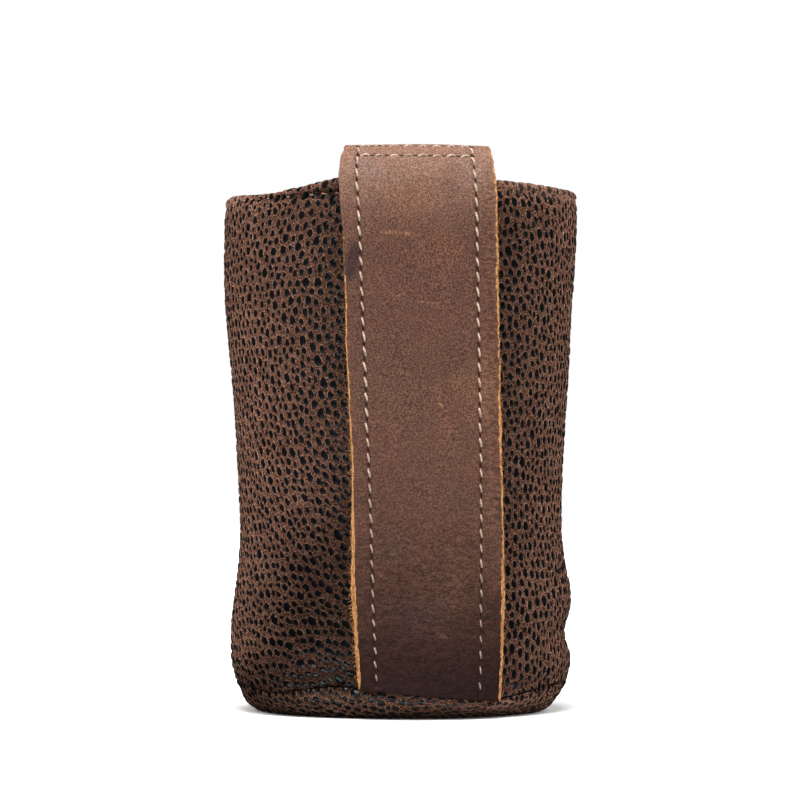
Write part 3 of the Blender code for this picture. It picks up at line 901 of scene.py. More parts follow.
def strap_line():
    """The strap from its edge: a bow 1 - (1 - t)^power, a quarter ellipse up, one down, a tail."""
    front = float(wall_radius(STRAP_FULL_BOW)) + STRAP_STANDOFF + STRAP_THICKNESS
    foot = float(wall_radius(SEAM_HEIGHT)) + LAYER_GAP + STRAP_THICKNESS
    middle = (RIM_RADIUS + RIM_INNER_RADIUS) / 2 + STRAP_LAYER
    tail = RIM_INNER_RADIUS - LAYER_GAP - STRAP_LAYER
    tail_top = APEX_HEIGHT - STRAP_INNER_ARCH
    climb = np.linspace(STRAP_FOOT, ARCH_HEIGHT, 400)[:-1]
    rise = np.clip((climb - STRAP_FOOT) / (STRAP_FULL_BOW - STRAP_FOOT), 0, 1)
    up = np.linspace(0, math.pi / 2, 160)
    down = np.linspace(math.pi / 2, math.pi, 120)[1:]
    end = np.linspace(tail_top, SLEEVE_HEIGHT - STRAP_TAIL, 80)[1:]
    radius = np.concatenate([
        foot + (front - foot) * (1 - (1 - rise) ** STRAP_BOW_POWER),
        middle + (front - middle) * np.cos(up),
        middle + (middle - tail) * np.cos(down),
        np.full(len(end), tail),
    ])
    z = np.concatenate([
        climb,
        ARCH_HEIGHT + STRAP_ARCH * np.sin(up),
        tail_top + STRAP_INNER_ARCH * np.sin(down),
        end,
    ])
    loose = 1 - STRAP_WRAP
    wrap = np.concatenate([
        STRAP_WRAP + loose * (1 - smooth(rise)),
        STRAP_WRAP + loose * smooth(up / math.pi),
        STRAP_WRAP + loose * smooth(down / math.pi),
        np.ones(len(end)),
    ])
    line = measured(radius, z)
    line["wrap"] = wrap
    return line


STRAP_LINE = strap_line()
STRAP_LENGTH = STRAP_LINE["s"][-1]
APEX_AT = STRAP_LINE["s"][int(np.argmax(STRAP_LINE["z"]))]


def row_at(angle):
    """How far along the strap the arch has turned by so many degrees."""
    z = ARCH_HEIGHT + STRAP_ARCH * math.sin(math.radians(angle))
    rising = STRAP_LINE["s"] <= APEX_AT
    return float(np.interp(z, STRAP_LINE["z"][rising], STRAP_LINE["s"][rising]))


UPPER_ROW_AT = row_at(UPPER_ROW_ANGLE)
LOWER_ROW_AT = row_at(LOWER_ROW_ANGLE)
print(f"strap {STRAP_LENGTH / MM:.1f} mm long, its cross rows at {LOWER_ROW_AT / MM:.1f}", end="")
print(f" and {UPPER_ROW_AT / MM:.1f} mm")


def strap_height(s):
    """How high the strap is so far along it."""
    return read(STRAP_LINE, s, "z")[0]


def strap_middle(s):
    """Where the strap's middle lies across the front: it leans to the left as it climbs."""
    return STRAP_LEAN * (1 - 2 * strap_height(s) / SLEEVE_HEIGHT)


def strap_half(s, pinch):
    """Half the strap's width, less a pinch where it turns over the arch."""
    z = strap_height(s)
    width = STRAP_WIDTH_FOOT + (STRAP_WIDTH_TOP - STRAP_WIDTH_FOOT) * z / SLEEVE_HEIGHT
    return width / 2 - pinch * bell(z - APEX_HEIGHT, STRAP_ARCH / 4)


def strap_left(s):
    """The left edge, flared a little at the foot and cut in where the strap goes down inside."""
    foot = fade(s, 0, STRAP_FULL_BOW * 0.8)
    tail = smooth((s - APEX_AT + 1.5 * MM) / (11 * MM))
    corner = bell(strap_height(s) - APEX_HEIGHT, 1.6 * MM)
    cut = LEFT_TAPER * tail + LEFT_CORNER * corner + FOOT_TAPER * fade(s, 0, FOOT_TAPER_REACH)
    return cut - LEFT_FLARE * foot - strap_half(s, STRAP_PINCH)


def strap_right(s):
    """The right edge, which is hardly pinched, and flares a little low down."""
    return strap_half(s, RIGHT_PINCH) - RIGHT_TRIM + RIGHT_FLARE * bell(s - 24 * MM, 26 * MM)


def on_strap(s, across, depth):
    """A point of the strap. across is measured from its middle, depth below its grain side.

    The strap is bent round the sleeve's axis by its wrap: the fall of a circle times the wrap.
    """
    radius, z, out, up, wrap = read(STRAP_LINE, s, "r", "z", "nr", "nz", "wrap")
    slant = STRAP_FOOT_SLANT * bell(z - STRAP_FOOT, STRAP_WIDTH_FOOT / 3)
    reach = radius - depth * out
    x = strap_middle(s) + across
    fall = reach - np.sqrt(np.maximum(0, reach ** 2 - x ** 2))
    z = z - depth * up - slant * 2 * x / STRAP_WIDTH_FOOT
    return np.stack([x, -(reach - wrap * fall), z], axis=-1)


# %% [markdown]
# Saddle stitches go through slanted slits, so each slit shows as a dark nick and each stitch as
# a pale dash that leans the other way, and together they press a groove into the leather.
# The groove and the nicks are real dents, and the mesh is finer along the rows to hold them.
# %% Where the stitches press in
STITCH_PITCH = 3.35 * MM
SLIT_LEAN = 0.30
SLIT_HALF = 0.66 * MM
SLIT_WIDE = 0.21 * MM
GROOVE_DEPTH = 0.30 * MM
GROOVE_REACH = 0.62 * MM
SLIT_DEPTH = 0.34 * MM
ROW_START = 1.6 * MM


def left_row(s):
    """Where the left stitch row lies across the strap."""
    taper = 0.5 * FOOT_TAPER * fade(s, 0, FOOT_TAPER_REACH)
    return -strap_half(s, STRAP_PINCH) + LEFT_ROW_INSET + taper


def right_row(s):
    """Where the right stitch row lies across the strap."""
    return strap_half(s, RIGHT_PINCH) - RIGHT_ROW_INSET


SIDE_STITCHES = int((UPPER_ROW_AT - ROW_START) / STITCH_PITCH)
SIDE_PITCH = (UPPER_ROW_AT - ROW_START) / SIDE_STITCHES
CROSS_SPAN = float(right_row(LOWER_ROW_AT) - left_row(LOWER_ROW_AT))
CROSS_STITCHES = round(CROSS_SPAN / STITCH_PITCH)
CROSS_PITCH = CROSS_SPAN / CROSS_STITCHES


def slit(along, aside, lean):
    """1 inside a slit that leans across its row, falling off round it like a bell."""
    tilt = math.atan(lean)
    on = along * math.cos(tilt) + aside * math.sin(tilt)
    off = aside * math.cos(tilt) - along * math.sin(tilt)
    return bell(on, SLIT_HALF) * bell(off, SLIT_WIDE)


def nearest_slit(at, start, pitch, count):
    """The slit of a row that is nearest to a place along it."""
    return np.clip(np.round((at - start) / pitch), 0, count) * pitch + start


def stitch_marks(s, across):
    """The groove and the slits of all four rows at points of the strap, each from 0 to 1."""
    groove = np.zeros_like(s)
    holes = np.zeros_like(s)
    below = smooth((UPPER_ROW_AT + 0.5 * MM - s) / (0.5 * MM))
    below = below * smooth((s - ROW_START + 1.0 * MM) / (1.0 * MM))
    for row in (left_row(s), right_row(s)):
        nearest = nearest_slit(s, ROW_START, SIDE_PITCH, SIDE_STITCHES)
        groove = np.maximum(groove, bell(across - row, GROOVE_REACH) * below)
        holes = np.maximum(holes, slit(s - nearest, across - row, -SLIT_LEAN))
    for at in (LOWER_ROW_AT, UPPER_ROW_AT):
        start, stop = left_row(at), right_row(at)
        nearest = nearest_slit(across, start, CROSS_PITCH, CROSS_STITCHES)
        inside = smooth((across - start) / MM) * smooth((stop - across) / MM)
        groove = np.maximum(groove, bell(s - at, GROOVE_REACH) * inside)
        holes = np.maximum(holes, slit(across - nearest, s - at, -SLIT_LEAN))
    return groove, holes


# %% [markdown]
# Oiled pull-up leather is darkest where it lies slack and palest where it is bent, so the colour
# runs from a pale tan brown on the arch to a dark brown at the foot; painted light on the arch's
# top, which faces up, and painted shade at the foot, which turns down, add to that run. It has a
# fine even grain, hair-fine creases across it where it bends, soft clouds of wear and a few
# scratches.
# The cut edges and the flesh side were never dyed through, so they are orange tan and fibrous.
# %% The strap's leather
STRAP_PALE = rgb(0.395, 0.212, 0.146)
STRAP_MID = rgb(0.149, 0.0595, 0.0390)
STRAP_DARK = rgb(0.029, 0.0080, 0.0050)
STRAP_RED = rgb(0.182, 0.072, 0.043)
STRAP_OLIVE = rgb(0.132, 0.0625, 0.0380)
STRAP_PLUM = rgb(0.085, 0.042, 0.040)
GRAIN_TAN = rgb(0.470, 0.290, 0.190)
SCUFF = rgb(0.420, 0.190, 0.090)
STAIN = rgb(0.034, 0.008, 0.015)
RUSSET = rgb(0.310, 0.115, 0.058)
# A grey sheen, a painted highlight.
PAINTED_SHEEN = rgb(0.330, 0.215, 0.195)
WORN = rgb(0.300, 0.140, 0.070)
EDGE_TAN = rgb(0.600, 0.305, 0.112)
EDGE_BROWN = rgb(0.230, 0.090, 0.033)
SLIT_SHADE_DARK = rgb(0.030, 0.010, 0.008)

# Each mark: its two ends on the front as x and z, its width, its strength and its colour.
STRAP_MARKS = (
    ((-11.3, 109.2), (-1.7, 108.5), 0.80, 0.58, SCUFF),
    ((-2.2, 93.5), (2.1, 93.2), 0.30, 0.45, GRAIN_TAN),
    ((-8.6, 94.6), (-4.4, 95.2), 0.28, 0.35, GRAIN_TAN),
    ((2.3, 71.1), (3.5, 70.0), 0.45, 0.80, SCUFF),
    ((-13.0, 66.5), (-9.5, 66.8), 0.45, 0.40, SCUFF),
    ((2.5, 19.3), (5.2, 18.7), 0.60, 0.42, SCUFF),
    ((11.8, 66.0), (13.6, 84.0), 5.50, 0.45, WORN),
    ((6.0, 78.0), (9.0, 72.0), 4.50, 0.28, WORN),
    ((-17.8, 97.5), (-15.6, 107.5), 2.60, 1.25, STAIN),
    ((-8.0, 119.5), (0.0, 112.5), 6.00, 0.42, RUSSET),
    ((0.5, 110.0), (6.5, 103.0), 6.00, 0.30, RUSSET),
    # Painted highlight: a grey sheen on the arch's top, where it faces up.
    ((-16.5, 125.5), (-9.5, 121.5), 4.50, 0.50, PAINTED_SHEEN),
    ((5.5, 125.5), (13.5, 122.0), 4.20, 0.38, PAINTED_SHEEN),
    ((4.0, 121.0), (7.0, 117.5), 3.60, 0.40, STRAP_PLUM),
    ((-7.0, 22.0), (6.0, 25.0), 7.00, 0.35, STRAP_PLUM),
    ((-10.0, 36.0), (-6.0, 42.0), 5.00, 0.40, STRAP_PLUM),
)


def scratch(net, x, z, start, end, width):
    """1 along a straight scratch between two places on the front, fading out round it.

    The place is turned so that the scratch lies level, then one hump is laid across it and
    one smooth step cuts off each end.
    """
    run = math.hypot(end[0] - start[0], end[1] - start[1])
    cos = (end[0] - start[0]) / run
    sin = (end[1] - start[1]) / run
    along = (x - start[0]) * cos + (z - start[1]) * sin
    off = (z - start[1]) * cos - (x - start[0]) * sin
    ends = along.step(-run * 0.1, run * 0.3) * (1 - along.step(run * 0.7, run * 1.1))
    return off.hump(0, width) * ends


def strap_leather():
    """Oiled hide, pale where it bends over the arch and dark at the foot, partly painted light and
    shade, marked, with raw tan edges.
    """
    net = Net("strap_leather")
    x, _, z = net.axes()
    raw = net.painted("raw")
    hole = net.painted("hole")
    pores = net.noise(3000, detail=2, roughness=0.62)
    grain = net.noise(2900, detail=2, roughness=0.60)
    cloud = net.noise(55, detail=4, roughness=0.55)
    patch = net.noise(160, detail=3, roughness=0.5)
    creases = net.noise(1750, detail=2, roughness=0.62, stretch=(0.42, 0.42, 1.0), distortion=0.4)
    cells = net.wobbled_cells(2300, 0.24 * MM)

    body = z.step(0.010, 0.050)
    # Darker towards the foot: partly the hide's own colour, partly painted shade where the foot
    # turns down.
    colour = net.mix(z.step(0.000, 0.064), STRAP_DARK, STRAP_MID)
    # Paler on the arch: partly the bent hide's own colour, partly painted light on its top, which
    # faces up.
    colour = net.mix(z.step(0.1045, 0.1300), colour, STRAP_PALE)
    clouded = cloud.step(0.46, 0.62) * body * (1 - z.step(0.105, 0.125)) * 0.6
    colour = net.mix(clouded, colour, STRAP_OLIVE)
    margin = x.step(0.008, 0.016) * z.step(0.02, 0.07) * (1 - z.step(0.118, 0.128))
    colour = net.mix(margin * 0.30 + patch.step(0.54, 0.70) * body * 0.45, colour, STRAP_RED)
    for start, end, width, strength, paint in STRAP_MARKS:
        ends = [(place[0] * MM, place[1] * MM) for place in (start, end)]
        mark = scratch(net, x, z, *ends, width * MM)
        colour = net.mix(mark * strength * grain.step(0.20, 0.55), colour, paint)
    wrinkled = margin.step(0.2, 0.8) + (1 - z.step(0.03, 0.07)) * 0.7 * (1 - margin)
    fine = grain * (1 - wrinkled * 0.8) + creases * wrinkled * 0.8 + cells * 0.14
    fine = (fine + (pores - 0.5) * 0.60).step(0.35, 0.76)
    light = net.mix(0.20, net.shade(colour, 1.70), GRAIN_TAN)
    light = net.mix(body, net.shade(colour, 2.80), light)
    colour = net.mix(fine, net.shade(colour, 0.56), light)
    # Painted shade: darker towards the foot.
    shaded = 0.69 + z.step(0.008, 0.050) * 0.31
    colour = net.shade(colour, (0.52 + cloud * 0.12 + patch * 0.14) * shaded)

    fibre = net.noise(2000, detail=3, roughness=0.65, stretch=(1, 1, 0.5))
    speck = net.noise(900, detail=2).step(0.52, 0.70)
    tan = net.mix(fibre.step(0.36, 0.60), EDGE_BROWN, EDGE_TAN)
    tan = net.mix(speck * 0.60, tan, EDGE_BROWN)
    edge = (raw + (fibre - 0.5) * 0.90).step(0.42, 0.58)
    colour = net.mix(edge, colour, tan)
    # Painted shade inside each stitch slit.
    colour = net.mix(hole.step(0.16, 0.50), colour, SLIT_SHADE_DARK)

    roughness = 0.56 + pores * 0.16 + edge * 0.25
    relief = pores * 0.30 + fine * 1.1 + fibre * edge * 1.8
    return net.finish(colour, roughness, net.bump(relief, 0.055 * MM, 0.8), specular=0.17)


# %% Build a strap layer as a closed ribbon
ROW_STEP = 0.30 * MM
PILLOW = 0.12 * MM
EDGE_SINKS = (0.28 * MM, 0.10 * MM)
SIDE_DEPTHS = np.array([0.45, 0.80, 1.15]) * MM
SIDE_BULGES = np.array([1.0, 1.3, 0.9]) * 0.10 * MM
LEFT_COLUMNS = np.array([0.0, 0.10, 0.30, 0.55, 0.85, 1.25, 1.75]) * MM
RIGHT_COLUMNS = np.array([0.0, 0.10, 0.30, 0.60, 0.95, 1.50, 2.30, 3.00]) * MM
SEWN_COLUMNS = np.linspace(-1.30, 1.30, 14) * MM
MIDDLE_COLUMNS = np.linspace(0, 1, 42)[1:-1]
UNDER_STEP = 6
INNER_SHOWS_LEFT = -0.25 * MM
INNER_SHOWS_FOOT = 0.72 * MM
INNER_SHOWS_AT = 20.0 * MM
INNER_SHOWS_REACH = 24.0 * MM
INNER_SHOWS_RIGHT = 0.30 * MM
INNER_SHOWS_CORNER = 0.42 * MM
LEFT_RAW_END = 74.0 * MM
LEFT_RAW_FADE = 32.0 * MM
LEFT_RAW_PATCH = 102.0 * MM
RIGHT_BEVEL_RAW = 0.55

# Each wave of a wandering edge or face: its length and its size, in millimetres.
LEFT_WAVES = ((41, 0.12), (17, 0.08), (5.3, 0.06), (2.1, 0.03))
RIGHT_WAVES = ((37, 0.10), (13, 0.07), (4.7, 0.06), (1.9, 0.04))
FACE_WAVES = ((29, 0.10), (11, 0.05))
FUZZ_WAVES = ((1.7, 0.05), (0.93, 0.05))


def wave(s, seed, waves):
    """A smooth wandering line: the sum of the waves, each a sine with a seeded phase."""
    rng = np.random.default_rng(seed)
    total = np.zeros_like(s)
    for length, size in waves:
        phase = rng.uniform(0, 2 * math.pi)
        total = total + size * MM * np.sin(2 * math.pi * s / (length * MM) + phase)
    return total


def inner_shows(side, s):
    """How far the inner layer stands out past the outer one: most low down."""
    if side > 0:
        return INNER_SHOWS_RIGHT + INNER_SHOWS_CORNER * bell(s - 8 * MM, 20 * MM)
    return INNER_SHOWS_LEFT + INNER_SHOWS_FOOT * bell(s - INNER_SHOWS_AT, INNER_SHOWS_REACH)


def strap_columns(s, left, right):
    """Places across the grain side for each s: both edges, both stitch rows and the middle."""
    left_sewn = left_row(s)[:, None] + SEWN_COLUMNS
    right_sewn = right_row(s)[:, None] + SEWN_COLUMNS
    middle = left_sewn[:, -1:] + (right_sewn[:, :1] - left_sewn[:, -1:]) * MIDDLE_COLUMNS
    left_side = left[:, None] + LEFT_COLUMNS
    right_side = right[:, None] - RIGHT_COLUMNS[::-1]
    columns = [left_side, left_sewn, middle, right_sewn, right_side]
    return np.sort(np.concatenate(columns, axis=1), axis=1)


def strap_layer(name, length, depth, seed, node):
    """One layer: a ring of places across it at every step along it, closed at both ends.

    Grain side: the depth plus grooves, slits, a slight pillow between the rows and slow waves.
    The inner layer is a little wider, so that its raw rim shows past the outer one.
    """
    outer = depth == 0
    s = np.linspace(0, length, round(length / ROW_STEP) + 1)
    left = wave(s, seed, LEFT_WAVES) + strap_left(s)
    right = wave(s, seed + 1, RIGHT_WAVES) + strap_right(s)
    if not outer:
        left = left - inner_shows(-1, s)
        right = right + inner_shows(1, s)
    across = strap_columns(s, left, right)
    columns = across.shape[1]
    sink = np.full(across.shape, depth)
    hole = np.zeros(across.shape)
    if outer:
        along = np.repeat(s[:, None], columns, axis=1)
        groove, hole = stitch_marks(along, across)
        pillow = PILLOW * (1 - (across / strap_half(s, 0)[:, None]) ** 2)
        slow = wave(along + 0.4 * across, seed + 2, FACE_WAVES) * (1 - groove)
        sink = sink + GROOVE_DEPTH * groove + SLIT_DEPTH * hole - pillow - slow
    for i, drop in enumerate(EDGE_SINKS):
        sink[:, [i, -1 - i]] += drop

    fuzz = np.stack([wave(s, seed + 5 + i, FUZZ_WAVES) for i in range(3)], 1)
    right_x = across[:, -1:] + SIDE_BULGES + fuzz
    left_x = across[:, :1] - SIDE_BULGES[::-1] + fuzz
    under = across[:, -2::-UNDER_STEP]
    under_depth = np.full(under.shape, depth + STRAP_LAYER)
    side_depth = np.repeat((depth + SIDE_DEPTHS)[None, :], len(s), axis=0)
    ring_x = np.concatenate([across, right_x, under, left_x], axis=1)
    ring_depth = np.concatenate([sink, side_depth, under_depth, side_depth[:, ::-1]], axis=1)
    places = on_strap(np.broadcast_to(s[:, None], ring_x.shape), ring_x, ring_depth).reshape(-1, 3)

    arch = 1 - 0.75 * smooth((s - LOWER_ROW_AT) / (4 * MM))[:, None]
    stained = 1 - 0.75 * smooth((s - LEFT_RAW_END) / LEFT_RAW_FADE)
    stained = np.maximum(stained, 0.42 * fade(s, LEFT_RAW_PATCH, 8 * MM))[:, None]
    raw = np.where(ring_x < 0, np.minimum(arch, stained), arch)
    if outer:
        raw[:, 1:columns - 1] = 0
        raw[:, columns - 3:columns - 1] = RIGHT_BEVEL_RAW * arch
    else:
        raw[:, columns + 3:-3] = 0
    nick = np.zeros(ring_x.shape)
    nick[:, :columns] = hole

    number = np.arange(ring_x.size).reshape(ring_x.shape)
    after = np.roll(number, -1, axis=1)
    faces = [split(number[:-1], after[:-1], after[1:], number[1:])]
    for i, ring in enumerate((number[0][::-1], number[-1])):
        centre = np.full(len(ring), len(places) + i)
        faces.append(np.stack([ring, np.roll(ring, -1), centre], 1))
    middles = [places[number[row]].mean(0) for row in (0, -1)]
    places = np.concatenate([places, middles])
    paint = {"raw": np.append(raw, [1, 1]), "hole": np.append(nick, [0, 0])}
    piece = new_piece(name, places, np.concatenate(faces), STRAP_HIDE, paint)
    return fitted(piece, node)


STRAP_HIDE = strap_leather()
strap_layer("strap_outer", STRAP_LENGTH, 0, 31, "strap_face")
strap_layer("strap_inner", APEX_AT, STRAP_LAYER + LAYER_GAP, 51, "strap_backing")

# %% [markdown]
# A stitch is a short piece of waxed thread that comes up out of one slit, lies along the groove
# and goes down the next. It is a thin tube carried along that path, and all the stitches of
# a row make one piece. The frayed fibres of the raw edges are the same kind of tube, tapered.
# %% Carry a tube along many short paths
def tubes(paths, radii, up, sides):
    """Closed tubes along paths[i, k]. Each ring lies across the way, turned by the up direction."""
    way = np.gradient(paths, axis=1)
    way /= np.linalg.norm(way, axis=2)[:, :, None]
    side = np.cross(way, up)
    side /= np.linalg.norm(side, axis=2)[:, :, None]
    over = np.cross(side, way)
    turn = 2 * math.pi * np.arange(sides)[:, None] / sides
    ring = side[:, :, None] * np.cos(turn) + over[:, :, None] * np.sin(turn)
    places = paths[:, :, None] + ring * radii[:, :, None, None]
    number = np.arange(places.size // 3).reshape(places.shape[:3])
    after = np.roll(number, -1, axis=2)
    faces = [split(number[:, :-1], number[:, 1:], after[:, 1:], after[:, :-1])]
    for i in range(1, sides - 1):
        faces += [number[:, 0][:, [0, i, i + 1]], number[:, -1][:, [0, i + 1, i]]]
    return places.reshape(-1, 3), np.concatenate(faces)


THREAD_LOW = rgb(0.170, 0.095, 0.065)
THREAD_GRIME = rgb(0.110, 0.050, 0.032)


def sewing_thread(name, dark, pale, grimy):
    """Beige waxed thread: twisted, so fine light and dark bands run round it, with grime."""
    net = Net(name)
    twist = net.noise(2400, detail=2, stretch=(1, 1, 1.6))
    grime = net.noise(420, detail=3)
    low = 1 - net.axes()[2].step(0.010, 0.090)
    colour = net.mix(twist.step(0.32, 0.68), dark, pale)
    colour = net.mix(low * 0.42, colour, THREAD_LOW)
    colour = net.mix(grime.step(0.40, 0.70) * grimy, colour, THREAD_GRIME)
    roughness = 0.62 + twist * 0.15
    return net.finish(colour, roughness, net.bump(twist, 0.08 * MM, 0.8), specular=0.25)


CLEAN = (rgb(0.400, 0.285, 0.210), rgb(0.760, 0.620, 0.500))
# The rim's thread is darker than the strap's.
DARKER_THREAD = (rgb(0.130, 0.060, 0.045), rgb(0.420, 0.250, 0.190))
STRAP_THREAD = sewing_thread("strap_thread", *CLEAN, 0.45)
RIM_THREAD = sewing_thread("rim_thread_darker", *DARKER_THREAD, 0.85)

# %% Sew the strap
THREAD_RADIUS = 0.250 * MM
FOOT_THREAD = 0.80
THREAD_STEPS = 9
THREAD_SIDES = 6
STITCH_SLANT = 0.38 * MM
STITCH_PROUD = 0.04 * MM
STITCH_PLUNGE = 1.05 * MM
STITCH_SUNK = 0.16 * MM
RIM_THREAD_SIZE = 0.80
PROBE = 0.1 * MM


def stitch_shape(count, rng):
    """For each stitch: the way along it, its slant aside and its lift, with small differences."""
    t = np.linspace(0, 1, THREAD_STEPS)[None, :]
    arch = np.sin(math.pi * t) ** 0.95
    lift = (STITCH_PLUNGE + STITCH_PROUD) * arch * rng.uniform(0.90, 1.10, (count, 1))
    aside = STITCH_SLANT * (1 - 2 * t) * rng.uniform(0.7, 1.2, (count, 1))
    aside = aside + rng.normal(0, 0.07 * MM, (count, 1))
    radius = THREAD_RADIUS * rng.uniform(0.88, 1.08, (count, 1)) * (0.72 + 0.28 * arch)
    return t, aside, lift - STITCH_PLUNGE, radius


def thread_piece(name, place, radius, node, material):
    """A row of stitches as one piece; place(depth) gives the thread's middle at a depth."""
    off = place(-PROBE) - place(PROBE)
    off = off / np.linalg.norm(off, axis=-1)[..., None]
    places, faces = tubes(place(0), radius, off, THREAD_SIDES)
    return fitted(new_piece(name, places, faces, material), node)


def side_stitches(name, row, seed, node):
    """The stitches up one side of the strap, thinner and deeper in the leather low down."""
    rng = np.random.default_rng(seed)
    t, aside, lift, radius = stitch_shape(SIDE_STITCHES, rng)
    start = ROW_START + SIDE_PITCH * np.arange(SIDE_STITCHES)[:, None]
    s = start + SIDE_PITCH * (0.04 + 0.92 * t)
    across = row(s) + aside
    low = fade(s, 0, STRAP_FULL_BOW)
    lift = lift - STITCH_SUNK * low
    radius = radius * (1 - (1 - FOOT_THREAD) * low)

    def place(depth):
        return on_strap(s, across, depth - lift)

    return thread_piece(name, place, radius, node, STRAP_THREAD)


def cross_stitches(name, at, seed, node):
    """The stitches across the strap, so far along it."""
    rng = np.random.default_rng(seed)
    t, aside, lift, radius = stitch_shape(CROSS_STITCHES, rng)
    start = left_row(at) + CROSS_PITCH * np.arange(CROSS_STITCHES)[:, None]
    across = start + CROSS_PITCH * (0.04 + 0.92 * t)
    s = at - 0.6 * aside

    def place(depth):
        return on_strap(s, across, depth - lift)

    return thread_piece(name, place, radius, node, STRAP_THREAD)


side_stitches("stitches_left", left_row, 61, "strap_thread_left")
side_stitches("stitches_right", right_row, 62, "strap_thread_right")
cross_stitches("stitches_upper", UPPER_ROW_AT, 63, "strap_thread_upper")
cross_stitches("stitches_lower", LOWER_ROW_AT, 64, "strap_thread_lower")


# %% Sew the rim
def rim_stitches(name, seed, node):
    """The stitches round the rim."""
    rng = np.random.default_rng(seed)
    t, aside, lift, radius = stitch_shape(RIM_STITCHES, rng)
    start = RIM_STITCH_PITCH * (np.arange(RIM_STITCHES)[:, None] + 0.5)
    degrees = start + RIM_STITCH_PITCH * (0.05 + 0.90 * t)
    s = rim_row(degrees) + 0.6 * aside

    def place(depth):
        return on_wall(degrees, s, lift - depth)

    return thread_piece(name, place, radius * RIM_THREAD_SIZE, node, RIM_THREAD)


rim_stitches("stitches_rim", 65, "rim_thread")


# %% [markdown]
# The strap's cut edges are rough: the hide's fibres stand out in tufts, more on the left edge.
# Each fibre is a tapered tube of three sides that leaves the edge, and bends as it goes.
# %% Fray the raw edges
FIBRE_STEPS = 5
FIBRE_RADIUS = 0.075 * MM
FIBRE_TURN = np.array([0.1, 0.2, 0.97])
TUFTS = 60
TUFTED = 0.60


def fibres(name, side, layer_depth, count, longest, seed):
    """Fibres along one edge: seeded places along it, in tufts, each with its own lean and curl."""
    rng = np.random.default_rng(seed)
    tuft = rng.uniform(0.02, 0.93, TUFTS) * UPPER_ROW_AT
    tufted = rng.random(count) < TUFTED
    in_tuft = tuft[rng.integers(0, TUFTS, count)] + rng.normal(0, 0.5 * MM, count)
    s = np.where(tufted, in_tuft, rng.uniform(0.01, 0.96, count) * UPPER_ROW_AT)
    s = np.clip(s, 0.5 * MM, UPPER_ROW_AT)[:, None]
    depth = layer_depth + rng.uniform(0.15, 0.95, count)[:, None] * STRAP_LAYER
    length = (0.25 + 0.75 * rng.random(count)[:, None] ** 2.5) * longest
    length = length * np.where(tufted, 1.0, 0.6)[:, None]
    t = np.linspace(0, 1, FIBRE_STEPS)[None, :]
    rise, curl, away = (rng.normal(0, spread, (count, 1)) for spread in (0.6, 0.7, 0.35))
    if side < 0:
        s = np.where(s > LEFT_RAW_END + 10 * MM, s * rng.random((count, 1)), s)
    start = strap_right(s) if side > 0 else strap_left(s)
    if layer_depth:
        start = start + side * inner_shows(side, s)
    across = start - side * 0.15 * MM + side * length * t
    along = s + length * (rise * t + curl * t * t)
    paths = on_strap(along, across, depth + length * away * t)
    radii = FIBRE_RADIUS * (1 - 0.8 * t) * rng.uniform(0.7, 1.3, (count, 1))
    places, faces = tubes(paths, radii, np.broadcast_to(FIBRE_TURN, paths.shape), 3)
    paint = {"raw": np.ones(len(places)), "hole": np.zeros(len(places))}
    return fitted(new_piece(name, places, faces, STRAP_HIDE, paint))


fibres("fibres_left_outer", -1, 0, 380, 0.6 * MM, 71)
fibres("fibres_left_inner", -1, STRAP_LAYER + LAYER_GAP, 520, 1.3 * MM, 72)
fibres("fibres_right_outer", 1, 0, 420, 0.5 * MM, 73)
fibres("fibres_right_inner", 1, STRAP_LAYER + LAYER_GAP, 900, 0.9 * MM, 74)

# %% [markdown]
# Inside, thin foam faced with black knit lines the wall, and a foam pad fills the base.
# The knit is fine loops in rows, so its material is two crossed ripples on the mesh's own map,
# which gives millimetres round the sleeve and up it.
# %% The knit-faced foam
LOOP_WIDTH = 0.9
LOOP_HEIGHT = 0.8


def knit_foam():
    """Black knit: two crossed sines for the loops, with a little pale lint."""
    net = Net("liner_foam")
    round_it = net.painted("round")
    up_it = net.painted("up")
    wide = (round_it * (2 * math.pi / LOOP_WIDTH)).math("SINE")
    loops = wide * (up_it * (2 * math.pi / LOOP_HEIGHT)).math("SINE")
    lint = net.noise(900, detail=3)
    colour = net.mix(loops.step(-1, 1), rgb(0.008, 0.008, 0.009), rgb(0.030, 0.029, 0.031))
    colour = net.mix(lint.step(0.62, 0.80) * 0.35, colour, rgb(0.075, 0.070, 0.070))
    roughness = 0.86 - loops * 0.04
    return net.finish(colour, roughness, net.bump(loops + lint, 0.12 * MM, 0.7), specular=0.25)


FOAM = knit_foam()


def turned_skin(name, section, columns, node):
    """A closed turned form: its section loop carried round the soft sleeve.

    Where the section starts and ends on the axis, each of those rings is one point.
    """
    degrees = np.linspace(0, 360, columns, endpoint=False)
    d = np.repeat(degrees[:, None], len(section[0]), axis=1)
    r, z = (np.repeat(line[None, :], columns, axis=0) for line in section)
    number = np.arange(d.size).reshape(d.shape)
    east = np.roll(number, -1, axis=0)
    faces = split(number, east, np.roll(east, -1, axis=1), np.roll(number, -1, axis=1))
    faces = np.where(r == 0, number[0], number).ravel()[faces]
    whole = (faces != np.roll(faces, 1, axis=1)).all(axis=1)
    used, faces = np.unique(faces[whole], return_inverse=True)
    up = np.concatenate([[0], np.cumsum(np.hypot(*(np.diff(line) for line in section)))]) / MM
    paint = {
        "round": (np.radians(d) * WELL_RADIUS / MM).ravel()[used],
        "up": np.repeat(up[None, :], columns, axis=0).ravel()[used],
    }
    places = on_sleeve(r, d, z).reshape(-1, 3)[used]
    piece = fitted(new_piece(name, places, faces.reshape(-1, 3), FOAM, paint), node)


